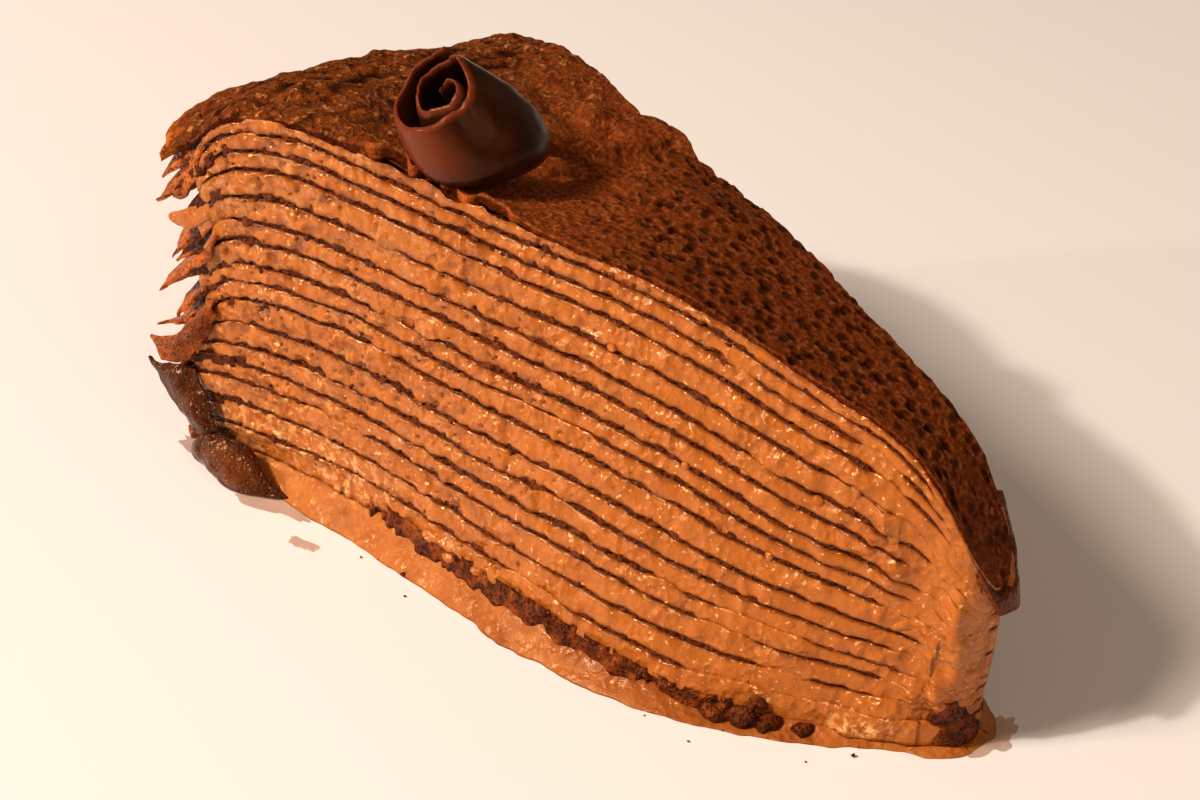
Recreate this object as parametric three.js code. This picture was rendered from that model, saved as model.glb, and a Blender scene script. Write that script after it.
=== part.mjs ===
// A wedge cut from a round crepe cake: thin crepes stacked with cream, standing on a skirt of cream,
// with a rolled chocolate curl lying on the top crepe.
// Millimetres. X runs along the slice from the cake's rim (-X) to its tip (+X), Z is up, the near cut
// face looks towards -Y and the far cut face towards +Y. The origin is the middle of the box's bottom.
import * as THREE from 'three';

// Plan of the slice.
const sliceLength = 107; // from the chord of the rim to the tip
const tipAside = 0.9; // the tip lies this far off the middle line, towards the far side
const rimWidth = 52.6; // between the two cut faces at the rim
const cakeRadius = 115; // curve of the rim
const tipRadiusLow = 7.2; // the tip has slumped blunt at the plate
const tipRadiusHigh = 3.8;
const tipFlat = 0.04; // share of the tip's radius cut off square at its end
const nearBulgeLow = 11.4; // how far the soft near face swells out at the plate
const nearBulgeHigh = -1.6;
const farBulgeLow = 4.0;
const farBulgeHigh = -0.6;
const bulgeSkew = 1.8; // above 1 the swelling lies nearer the tip
const faceInsetLow = 2.4; // the stack stands this far in from the edge of the cream skirt

// Height of the near face along the slice, as [share of the length, height].
const heightProfile = [
  [0, 49.4], [0.07, 52], [0.22, 53.8], [0.45, 51],
  [0.63, 48.9], [0.77, 44.4], [0.9, 40.6], [1, 37],
];
const noseStart = 0.84; // past this share of the length the top layers bend down over the tip
const noseDrop = 13;
const noseBend = 2.8; // above 1 the bend is late and tight
const noseSqueeze = 1.5; // above 1 the bend is taken up by the uppermost layers
const farSideDrop = 4.6; // the top is this much lower along the far face
const sagStart = 0.5; // share of the length past which the lower layers sag towards the plate
const sagStrength = 0.2;

// Layers, from the plate up.
const skirtThickness = 2.9;
const skirtScallop = 0.5; // the skirt's edge runs in and out by this much
const skirtScallopStep = 2.3;
const baseCrepeThickness = 1.6;
const crepeThickness = 0.9;
const creamThicknesses = [2.6, 2.8, 2.8, 1.8, 2.3, 2.4, 3.2, 2.0, 1.7, 2.3, 2.0, 2.6, 2.8, 1.6, 1.5, 1.0];
const layerGap = 0.18; // between one layer and the next
const creamProud = 0.4; // the cream stands this far out of the cut crepe edges
const rimInsetMost = 1.5; // at the rim the cream stops up to this far inside the crepes
const rimInsetSeed = 7;

// Loose crepe edges at the rim, from the plate up: how far each reaches past the cream at the near face.
const flapReaches = [4, 6, 9, 9, 5, 4, 5, 3, 8, 3, 5, 2, 3, 7, 5, 5, 5];
const flapReachLeast = 2;
const flapReachMost = 7.5;
const flapDroopLow = 0.3; // fall for each millimetre of reach
const flapDroopHigh = 0.85;
const flapBend = 2; // a flap bends down over this length
const flapWave = 0.12; // rise and fall of neighbouring flaps for each millimetre of reach
const flapWaveTurn = 13; // radians from the near to the far face
const flapBlend = 2; // columns over which the listed reaches give way to random ones
const flapSeed = 100;

// Folds in the top crepe: from a point near the rim to one near the far face, height and half width.
const pleats = [
  { from: [20, 4], to: [50, 15], height: 1.6, halfWidth: 4.5 },
  { from: [30, 2], to: [66, 9], height: 1.2, halfWidth: 4 },
  { from: [8, -14], to: [34, -20], height: 0.9, halfWidth: 4 },
];
const pleatEndSharpness = 4; // above 1 a fold keeps its height and fades only near its ends
const dipSpot = [36, -9]; // the curl has pressed a shallow dip into the top crepe here
const dipDepth = 0.45;
const dipRadius = 7;

// Chocolate curl: a shaving rolled into a fat short spiral that leans with its mouth up.
const curlLength = 12.4;
const curlOuterRadius = 8.5;
const curlInnerRadius = 3.0;
const curlOpening = 1.0; // above 1 the inner turn is tight and the outer one loose
const curlTurns = 1.98;
const endTightness = 0.45; // the turns lie closer by this factor at the closed end
const curlThickness = 1.0;
const curlBelly = 0.12; // the roll hangs out by this share of its radius below
const curlBellyTurn = THREE.MathUtils.degToRad(250);
const mouthLobe = 0.2; // the outer turn bulges at the mouth by this share more
const mouthLobeTurn = THREE.MathUtils.degToRad(262);
const mouthNarrowing = 0.36; // share of the radius lost at the mouth
const mouthRoundness = 1.6; // above 1 it narrows late
const endNarrowing = 0.36; // and at the closed end
const endRoundness = 4; // above 1 it narrows late
const lipStart = 0.8; // share of the sheet's run past which the loose lip begins
const lipOut = 0.2; // the lip stands off by this much
const lipForward = 0.2; // and reaches this far past the mouth
const lipCut = 0.12; // share of the length by which it falls short of the closed end
const mouthSlant = 0.2; // slope of the mouth
const mouthSlantTurn = THREE.MathUtils.degToRad(-10); // place of its longest side, round from level
const crestHeight = 1.9; // the outer turn rises to a crest at the mouth
const crestTurn = 72; // degrees round the roll
const crestWidth = 34; // degrees
const endSlant = 0.3; // slope of the closed end
const endSlantTurn = THREE.MathUtils.degToRad(95);
const curlSpot = [34.8, -10.8]; // where its middle lies over the top crepe
const curlHeading = THREE.MathUtils.degToRad(54); // its closed end points this far from +X towards +Y
const curlTilt = THREE.MathUtils.degToRad(50); // its mouth is raised
const curlStartAngle = THREE.MathUtils.degToRad(36);
const curlRestGap = 0.3;
const curlRingPoints = 42;
const curlRings = 7;

const skirtFinish = new THREE.MeshStandardMaterial({ color: '#9a5a30', roughness: 0.35, metalness: 0 });
const creamFinish = new THREE.MeshStandardMaterial({ color: '#b8713d', roughness: 0.4, metalness: 0 });
const crepeFinish = new THREE.MeshStandardMaterial({ color: '#43200f', roughness: 0.75, metalness: 0 });
const topFinish = new THREE.MeshStandardMaterial({ color: '#5c2e17', roughness: 0.8, metalness: 0 });
const chocolateFinish = new THREE.MeshStandardMaterial({ color: '#26110b', roughness: 0.25, metalness: 0 });

const mix = (from, to, share) => from + (to - from) * share;

// Repeatable random numbers from 0 to 1.
function seededRandom(seed) {
  let state = seed >>> 0;
  return () => {
    state = (Math.imul(state, 1664525) + 1013904223) >>> 0;
    return state / 4294967296;
  };
}

// Smooth curve through the profile's points, read at one share of the length.
function profileHeight(share) {
  const points = heightProfile;
  const at = THREE.MathUtils.clamp(share, 0, 1);
  const last = points.length - 1;
  let i = 0;
  while (i < last - 1 && at > points[i + 1][0]) i += 1;
  const slope = (k) => {
    const low = points[Math.max(k - 1, 0)];
    const high = points[Math.min(k + 1, last)];
    return (high[1] - low[1]) / (high[0] - low[0]);
  };
  const width = points[i + 1][0] - points[i][0];
  const t = (at - points[i][0]) / width;
  const rise = points[i + 1][1] - points[i][1];
  const smooth = t * t * (3 - 2 * t);
  const early = t * (1 - t) * (1 - t);
  const late = t * t * (t - 1);
  return points[i][1] + rise * smooth + width * (slope(i) * early + slope(i + 1) * late);
}

// Height of a level of the stack, given as a share of its full height, over a point of the plan.
function levelHeight(share, x, y) {
  const along = x / sliceLength;
  const body = profileHeight(along) - (farSideDrop * (y + rimWidth / 2)) / rimWidth;
  const past = THREE.MathUtils.smoothstep(along, sagStart, 1);
  const sagged = Math.pow(share, 1 + sagStrength * past);
  const nose = noseDrop * Math.max((along - noseStart) / (1 - noseStart), 0) ** noseBend;
  return sagged * (body - nose * Math.pow(sagged, noseSqueeze));
}

// Distance of a cut face from the slice's middle line, with the rounded tip.
// side is -1 for the near edge and 1 for the far edge.
function edgeDistance(x, side, share, inset) {
  const radius = mix(tipRadiusLow, tipRadiusHigh, share) - inset;
  const half = rimWidth / 2 - inset;
  const centre = sliceLength - inset - radius;
  const lean = Math.asin((half - radius) / centre);
  const tangent = centre + radius * Math.sin(lean);
  if (x > tangent) return Math.sqrt(radius ** 2 - (x - centre) ** 2);
  const along = x / tangent;
  const low = side < 0 ? nearBulgeLow : farBulgeLow;
  const high = side < 0 ? nearBulgeHigh : farBulgeHigh;
  const bulge = mix(low, high, share) * Math.sin(Math.PI * Math.pow(along, bulgeSkew));
  return mix(half, radius * Math.cos(lean), along) + bulge;
}

// A point on a level of a layer: the station runs from rim to tip and across from the near edge (0) to
// the far edge (1). The layer's outline is that of its middle share, and rows near the rim bow with it.
function levelPoint(station, across, middle, inset, share) {
  const radius = mix(tipRadiusLow, tipRadiusHigh, middle) - inset;
  const x = Math.min(station, sliceLength - inset - tipFlat * radius);
  const near = -edgeDistance(x, -1, middle, inset);
  const far = edgeDistance(x, 1, middle, inset);
  const y = mix(near, far, across) + (tipAside * x) / sliceLength;
  const chord = Math.sqrt(cakeRadius ** 2 - (rimWidth / 2) ** 2);
  const rimBow = Math.max(Math.sqrt(cakeRadius ** 2 - y ** 2) - chord, 0);
  const bowed = x - rimBow * (1 - x / sliceLength) ** 2;
  return new THREE.Vector3(bowed, y, levelHeight(share, x, y));
}

// Way out from the cake's middle at a point of the rim.
function rimOutward(point) {
  return new THREE.Vector3(point.x - cakeRadius, point.y, 0).normalize();
}

// Closed solid between two height surfaces over a grid of plan points.
// lower and upper give a Vector3 for each row and column.
function gridSolid(rows, columns, lower, upper) {
  const positions = [];
  const push = (...points) => points.forEach((p) => positions.push(p.x, p.y, p.z));
  const quad = (a, b, c, d) => push(a, b, c, a, c, d);
  for (let i = 0; i < rows - 1; i += 1) {
    for (let j = 0; j < columns - 1; j += 1) {
      quad(upper(i, j), upper(i + 1, j), upper(i + 1, j + 1), upper(i, j + 1));
      quad(lower(i, j), lower(i, j + 1), lower(i + 1, j + 1), lower(i + 1, j));
    }
    quad(lower(i, 0), lower(i + 1, 0), upper(i + 1, 0), upper(i, 0));
    const last = columns - 1;
    quad(lower(i + 1, last), lower(i, last), upper(i, last), upper(i + 1, last));
  }
  for (let j = 0; j < columns - 1; j += 1) {
    const end = rows - 1;
    quad(lower(0, j + 1), lower(0, j), upper(0, j), upper(0, j + 1));
    quad(lower(end, j), lower(end, j + 1), upper(end, j + 1), upper(end, j));
  }
  const geometry = new THREE.BufferGeometry();
  geometry.setAttribute('position', new THREE.Float32BufferAttribute(positions, 3));
  geometry.computeVertexNormals();
  return geometry;
}

const slice = new THREE.Group();

function addNode(name, geometry, material) {
  const mesh = new THREE.Mesh(geometry, material);
  mesh.name = name;
  slice.add(mesh);
  return mesh;
}

// Stations along X shared by all layers, closer where the height changes fastest; the last is the tip.
const creamColumns = 4;
const crepeColumns = 8;
const topColumns = 13;
const skirtColumns = 7;
const stations = [0, 6, 14, 27, 42, 57, 71, 84, 93, 98.5, 102, 104.8, sliceLength];

const crepeCount = creamThicknesses.length + 1;
const fullThickness =
  skirtThickness +
  baseCrepeThickness +
  crepeThickness * (crepeCount - 1) +
  creamThicknesses.reduce((sum, thickness) => sum + thickness, 0);

// A cream layer between two levels, ending a little inside the rim.
function creamGeometry(lowShare, highShare, rimInset) {
  const middle = (lowShare + highShare) / 2;
  const inset = faceInsetLow * (1 - middle);
  const surface = (share, gap) => (i, j) => {
    const point = levelPoint(stations[i], j / (creamColumns - 1), middle, inset, share);
    point.z -= gap;
    return point;
  };
  const drawnIn = (at) => (i, j) => {
    if (i > 0) return at(i, j);
    return at(0, j).lerp(at(1, j), rimInset / stations[1]);
  };
  const lower = drawnIn(surface(lowShare, 0));
  const upper = drawnIn(surface(highShare, layerGap));
  return gridSolid(stations.length, creamColumns, lower, upper);
}

// Relief of the top crepe: its folds and the dip under the curl.
function topRelief(x, y) {
  const fromDip = Math.hypot(x - dipSpot[0], y - dipSpot[1]) / dipRadius;
  let height = -dipDepth * Math.exp(-fromDip * fromDip);
  for (const pleat of pleats) {
    const start = new THREE.Vector2(...pleat.from);
    const run = new THREE.Vector2(...pleat.to).sub(start);
    const offset = new THREE.Vector2(x, y).sub(start);
    const along = offset.dot(run) / run.lengthSq();
    const beside = (offset.x * run.y - offset.y * run.x) / run.length();
    const ends = Math.max(0, 1 - (2 * along - 1) ** pleatEndSharpness);
    const flank = Math.exp(-((beside / pleat.halfWidth) ** 2));
    if (along > 0 && along < 1) height += pleat.height * ends * flank;
  }
  return height;
}

// A crepe between two levels, with its loose drooping edge past the rim.
function crepeGeometry(index, lowShare, highShare, columns, rows, folds) {
  const middle = (lowShare + highShare) / 2;
  const inset = faceInsetLow * (1 - middle) + creamProud;
  const random = seededRandom(flapSeed + index);
  const reaches = [];
  for (let j = 0; j < columns; j += 1) {
    const shown = Math.max(1 - j / flapBlend, 0);
    reaches.push(mix(mix(flapReachLeast, flapReachMost, random()), flapReaches[index], shown));
  }
  const droop = mix(flapDroopLow, flapDroopHigh, middle);
  const surface = (share, gap, relief) => (i, j) => {
    const station = Math.max(rows[i], 0);
    const across = j / (columns - 1);
    const point = levelPoint(station, across, middle, inset, share);
    point.z += (relief ? topRelief(point.x, point.y) : 0) - gap;
    const out = Math.max(-rows[i], 0) * reaches[j];
    point.addScaledVector(rimOutward(point), out);
    point.z += flapWave * Math.sin(across * flapWaveTurn) * out - (droop * out * out) / (out + flapBend);
    return point;
  };
  return gridSolid(rows.length, columns, surface(lowShare, 0, false), surface(highShare, layerGap, folds));
}

// The cream skirt that the stack stands on: flat below, its side sloping in to the lowest crepe.
function skirtGeometry(highShare) {
  const columns = skirtColumns;
  const lower = (i, j) => {
    const point = levelPoint(stations[i], j / (columns - 1), 0, 0, 0);
    if (j === 0 || j === columns - 1) point.y += skirtScallop * Math.sin(i * skirtScallopStep + j);
    return point;
  };
  const upper = (i, j) => {
    const point = levelPoint(stations[i], j / (columns - 1), highShare, faceInsetLow, highShare);
    point.z -= layerGap;
    return point;
  };
  return gridSolid(stations.length, columns, lower, upper);
}

// The rolled shaving, its axis along +X from the mouth to the closed end.
function curlGeometry() {
  const roll = (i, j, side) => {
    const run = i / (curlRingPoints - 1);
    const lip = THREE.MathUtils.smoothstep(run, lipStart, 1);
    const along = (j / (curlRings - 1)) * (1 - lipCut * lip);
    const angle = curlStartAngle + 2 * Math.PI * curlTurns * run;
    const inward = (curlOuterRadius - curlInnerRadius) * (1 - run ** curlOpening);
    const middle = curlOuterRadius - inward * mix(1, endTightness, along);
    const swell = 1 - mouthNarrowing * (1 - along) ** mouthRoundness - endNarrowing * along ** endRoundness;
    const lobe = Math.max(Math.cos(angle - mouthLobeTurn), 0) ** 1.5 * THREE.MathUtils.smoothstep(run, 0.25, 0.6);
    const belly = 1 + curlBelly * Math.cos(angle - curlBellyTurn) + mouthLobe * lobe * (1 - along);
    const radius = (middle + lipOut * lip * (1 - along) + (side * curlThickness) / 2) * swell * belly;
    const offCrest = THREE.MathUtils.euclideanModulo(THREE.MathUtils.radToDeg(angle) - crestTurn + 180, 360) - 180;
    const crest = crestHeight * Math.exp(-((offCrest / crestWidth) ** 2)) * THREE.MathUtils.smoothstep(run, 0.45, 0.6);
    const mouth = mouthSlant * middle * Math.cos(angle - mouthSlantTurn) + lipForward * lip + crest;
    const end = endSlant * middle * Math.cos(angle - endSlantTurn);
    const x = (along - 0.5) * curlLength - mouth * (1 - along) + end * along;
    return new THREE.Vector3(x, radius * Math.cos(angle), radius * Math.sin(angle));
  };
  return gridSolid(curlRingPoints, curlRings, (i, j) => roll(i, j, -1), (i, j) => roll(i, j, 1));
}

// Lifts a mesh so that its lowest clearance over the top crepe is the rest gap.
function restOnTop(mesh) {
  mesh.updateMatrixWorld(true);
  const corner = new THREE.Vector3();
  const corners = mesh.geometry.getAttribute('position');
  let clearance = Infinity;
  for (let i = 0; i < corners.count; i += 1) {
    corner.fromBufferAttribute(corners, i).applyMatrix4(mesh.matrixWorld);
    const top = levelHeight(1, corner.x, corner.y) + topRelief(corner.x, corner.y);
    clearance = Math.min(clearance, corner.z - top);
  }
  mesh.position.z += curlRestGap - clearance;
}

const twoDigits = (number) => String(number).padStart(2, '0');
const flapRows = [-1, -0.5];
const plainRows = [...flapRows, ...stations];
const topRows = [-1, -0.7, -0.35];
for (let i = 0; i < stations.length - 1; i += 1) {
  topRows.push(stations[i], mix(stations[i], stations[i + 1], 0.5));
}
topRows.push(sliceLength);

// Stack the layers from the plate up.
const rimInsetRandom = seededRandom(rimInsetSeed);
let level = skirtThickness;
addNode('base_cream', skirtGeometry(level / fullThickness), skirtFinish);
for (let k = 0; k < crepeCount; k += 1) {
  const thickness = k === 0 ? baseCrepeThickness : crepeThickness;
  const isTop = k === crepeCount - 1;
  const shares = [level / fullThickness, (level + thickness) / fullThickness];
  const geometry = isTop
    ? crepeGeometry(k, ...shares, topColumns, topRows, true)
    : crepeGeometry(k, ...shares, crepeColumns, plainRows, false);
  addNode(`crepe_${twoDigits(k + 1)}`, geometry, isTop ? topFinish : crepeFinish);
  level += thickness;
  if (isTop) break;
  const above = level + creamThicknesses[k];
  const rimInset = rimInsetMost * rimInsetRandom();
  const cream = creamGeometry(level / fullThickness, above / fullThickness, rimInset);
  addNode(`cream_${twoDigits(k + 1)}`, cream, creamFinish);
  level = above;
}

const curl = addNode('chocolate_curl', curlGeometry(), chocolateFinish);
curl.rotation.set(0, curlTilt, curlHeading, 'ZYX');
curl.position.set(...curlSpot, profileHeight(curlSpot[0] / sliceLength));
restOnTop(curl);

// Put the middle of the box's bottom at the origin.
slice.updateMatrixWorld(true);
const box = new THREE.Box3().setFromObject(slice, true);
slice.position.set(-(box.min.x + box.max.x) / 2, -(box.min.y + box.max.y) / 2, -box.min.z);

export default slice;
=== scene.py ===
"""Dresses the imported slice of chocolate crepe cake: crepes, cream, skirt, curl, smears, crumbs and the stage.

Lengths in the functions are millimetres in the slice's own frame: x runs from the chord of the rim (0) to
the tip, y from the near cut face (-) to the far one (+), z up from the plate. place() moves them into the
part's frame, in metres.
"""

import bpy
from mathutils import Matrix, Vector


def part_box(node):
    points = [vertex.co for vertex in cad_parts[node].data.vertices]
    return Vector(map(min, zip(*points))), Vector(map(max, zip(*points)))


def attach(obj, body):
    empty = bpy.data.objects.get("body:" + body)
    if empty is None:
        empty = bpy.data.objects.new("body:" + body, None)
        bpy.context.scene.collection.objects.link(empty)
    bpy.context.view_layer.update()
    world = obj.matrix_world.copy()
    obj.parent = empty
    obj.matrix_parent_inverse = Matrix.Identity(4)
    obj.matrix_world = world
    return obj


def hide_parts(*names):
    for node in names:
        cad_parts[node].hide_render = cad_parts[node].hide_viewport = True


bl_info = {
    "name": "Crepe Cake Slice",
    "version": (1, 0, 0),
    "blender": (4, 5, 0),
    "location": "View3D > Sidebar > Cake",
    "description": "Builds the crepes, creams, curl and stage of a crepe cake slice",
    "category": "Add Mesh",
}

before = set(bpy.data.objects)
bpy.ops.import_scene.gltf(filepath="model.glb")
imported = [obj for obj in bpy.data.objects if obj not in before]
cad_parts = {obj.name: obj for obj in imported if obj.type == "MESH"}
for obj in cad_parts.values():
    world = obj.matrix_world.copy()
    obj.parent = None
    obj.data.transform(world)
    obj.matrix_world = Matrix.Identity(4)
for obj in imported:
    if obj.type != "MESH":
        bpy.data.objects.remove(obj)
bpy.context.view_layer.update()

import math

import bpy
import numpy as np
from bpy.props import FloatProperty, FloatVectorProperty, IntProperty, PointerProperty
from mathutils import Euler, Matrix, Vector

MM = 0.001
ROOT = "root"

# ---------------------------------------------------------------- measures of the slice, in millimetres

SLICE_LENGTH = 107.0
TIP_ASIDE = 0.9
RIM_WIDTH = 52.6
CAKE_RADIUS = 115.0
TIP_RADIUS_LOW = 7.2
TIP_RADIUS_HIGH = 3.8
TIP_FLAT = 0.04
NEAR_BULGE = (11.4, -1.6)  # at the plate and at the top
FAR_BULGE = (4.0, -0.6)
BULGE_SKEW = 1.8
FACE_INSET_LOW = 2.4
HEIGHT_PROFILE = (
    (0, 49.4), (0.07, 52), (0.22, 53.8), (0.45, 51),
    (0.63, 48.9), (0.77, 44.4), (0.9, 40.6), (1, 37),
)
NOSE_START = 0.84
NOSE_DROP = 13.0
NOSE_BEND = 2.8
NOSE_SQUEEZE = 1.5
FAR_SIDE_DROP = 4.6
SAG_START = 0.5
SAG_STRENGTH = 0.2

SKIRT_THICKNESS = 2.9
BASE_CREPE_THICKNESS = 1.6
CREPE_THICKNESS = 0.9
LEAF_THICKNESS = 0.55
TIP_FLAP_THICKNESS = 0.7
CREAM_THICKNESSES = (2.6, 2.8, 2.8, 1.8, 2.3, 2.4, 3.2, 2.0, 1.7, 2.3, 2.0, 2.6, 2.8, 1.6, 1.5, 1.0)
CREPE_COUNT = len(CREAM_THICKNESSES) + 1
FULL_THICKNESS = (
    SKIRT_THICKNESS + BASE_CREPE_THICKNESS + CREPE_THICKNESS * (CREPE_COUNT - 1) + sum(CREAM_THICKNESSES)
)
RIM_INSET_MOST = 1.5
RIM_INSET_SEED = 7

# The loose edge of each crepe at the near cut: how far it stands out, and how far its tip hangs.
FLAP_TIPS = (
    (4, 1.2), (5, 2.2), (6.5, 2.6), (9, 2.2), (4, 3.0), (3, 3.3), (8.5, 3.6), (3.5, 5.4), (4.5, 7.4),
    (7.5, 7.2), (3.8, 4.4), (4.6, 6.8), (0.6, 1.8), (5.4, 5.0), (3.2, 4.7), (4.2, 5.6), (4.6, 5.2),
)
FLAP_TIP_BEND = 1.8
# How far the top layers rise at the rim: place across the slice and rise.
RIM_CROWN = ((-26, 0), (-23, 2.0), (-17, 3.4), (-8, 3.0), (2, 2.2), (14, 1.1), (24, 0))
# How far the lower layers reach out at the rim's near corner: share of the height and reach.
RIM_PUSH = (
    (0, 0.5), (0.12, 0.5), (0.18, 1.2), (0.25, 2.6), (0.31, 4.4), (0.36, 4.2), (0.42, 2.6), (0.47, 1.0),
    (0.52, 0),
)
CROWN_LENGTH = (5, 30)  # where the rise begins to fade, and where it ends
PUSH_LENGTH = 8.0
PUSH_WIDTH = 5.0
CORNER_WIDTH = 3.5  # how far in from the near cut its loose edges hang lower
RIM_BEND_START = 7.0
RIM_DROP = 1.1
FLAP_REACH_RANGE = (2.0, 7.5)
FLAP_DROOP = (0.3, 0.85)
FLAP_BEND = 2.0
FLAP_WAVE = 0.12
FLAP_WAVE_TURN = 13.0
FLAP_BLEND = 2
FLAP_LEAST = 1.2
FLAP_SEED = 100
FLAP_COLUMNS = {False: 8, True: 13}  # places of one drawn reach each, on a plain crepe and on the top one

# Folds of the top crepe: from, to, height and half width.
PLEATS = (
    ((20, 4), (50, 15), 1.6, 4.5),
    ((30, 2), (66, 9), 1.2, 4),
    ((8, -14), (34, -20), 0.9, 4),
)
PLEAT_END_SHARPNESS = 4
DIP_SPOT = (36, -9)
DIP_DEPTH = 0.45
DIP_RADIUS = 7.0

CURL_LENGTH = 12.4
CURL_RADIUS = (3.0, 8.5)  # of the sheet's inner and outer end
CURL_TURNS = 1.98
CURL_FOLD = (0.16, -1.5)  # the sheet's first part folds through the middle, starting at this radius
CURL_END_TIGHTNESS = 0.45
CURL_THICKNESS = 1.0
CURL_BELLY = (0.12, 250)  # share of the radius, and its place round the roll in degrees
CURL_LOBE = (0.2, 262)  # the mouth's own bulge, in the same way
CURL_CREST = (1.9, 72, 34)  # rise of the outer turn at the mouth, its place and its width in degrees
MOUTH_NARROWING = 0.36
MOUTH_ROUNDNESS = 1.6
END_NARROWING = 0.36
END_ROUNDNESS = 4
LIP_START = 0.8
LIP_OUT = 0.2
LIP_FORWARD = 0.2
LIP_CUT = 0.12
MOUTH_SLANT = (0.2, 350)
END_SLANT = (0.3, 95)
CURL_HEADING = 54
CURL_TILT = 50
CURL_START_ANGLE = 36
CURL_MIDDLE = (34.8, -10.9)
CURL_TOP = 65.9

# How fine the meshes are: places of the points from the near cut to the middle, cuts in the walls, steps.
CREAM_COLUMNS = (0, 0.006, 0.016, 0.04, 0.12, 0.3, 0.5)
CREPE_COLUMNS = (0, 0.006, 0.016, 0.035, 0.065, 0.1, 0.15, 0.2, 0.25, 0.3, 0.35, 0.4, 0.45, 0.5)
SKIRT_COLUMNS = (0, 0.008, 0.02, 0.04, 0.07, 0.12, 0.3, 0.5)
TOP_COLUMN_COUNT = 134
CREAM_CUTS = 9
CREPE_CUTS = 4
SKIRT_CUTS = 11
TOP_STEP = 0.34
SKIRT_STEP = 0.3
LOOSE_EDGE_ROWS = 14
CURL_GRID = (190, 52)
CURL_CUTS = 2
LEAF_FINENESS = 9
TIP_FLAP_GRID = (40, 14)
LUMP_VOXEL = 0.24
STEP_AHEAD = 0.05  # how far on a point is looked up to find the way along the cut

# The part's origin in the slice's own frame.
TIP_END = SLICE_LENGTH - TIP_FLAT * TIP_RADIUS_LOW
ORIGIN_X = TIP_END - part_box("base_cream")[1].x / MM
ORIGIN_Y = 0.172

# Crepe edges that the knife has smeared over with cream on the near face: crepe, from x, to x.
FADED_EDGES = (
    (1, 3, 29), (1, 84, 110), (2, 52, 63), (2, 78, 110), (3, 86, 93), (3, 97, 110), (4, 78, 86),
    (4, 98, 110), (5, 80, 92), (5, 100, 110), (6, 98, 110), (7, 101, 110), (8, 96, 104), (9, 99, 110),
    (10, 100, 110), (11, 98, 108), (12, 100, 110), (13, 27, 32), (13, 95, 110), (14, 92, 98),
    (14, 101, 110), (15, 74, 79), (15, 90, 97), (15, 101, 110), (16, 99, 110),
)
FADE_LENGTH = 2.5
WAVES_BEGIN = (0.02, 0.2)  # shares of the height over which the layers' waves begin
WAVES_END = (0, 0.08)  # and over which they end, counted down from the top
BASE_SWAY_HEIGHTS = (0.05, 0.08, 0.25)  # shares of the height: full from, full to, gone
BASE_SWAY_DEPTH = (0.1, 0.4)  # shares of the way to the far face: full to, gone
SMEAR_LIMITS = (0.5, 0.72)  # chance from which an edge is smeared, and wholly smeared
SMEAR_MOST = 0.85

# Rise and fall of the lowest layers along the near face: x and height.
BASE_SWAY = ((0, 0.4), (20, 0.9), (45, 1.1), (60, 0.6), (70, 0.0), (80, -0.9), (90, -0.6), (107, 0))

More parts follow.
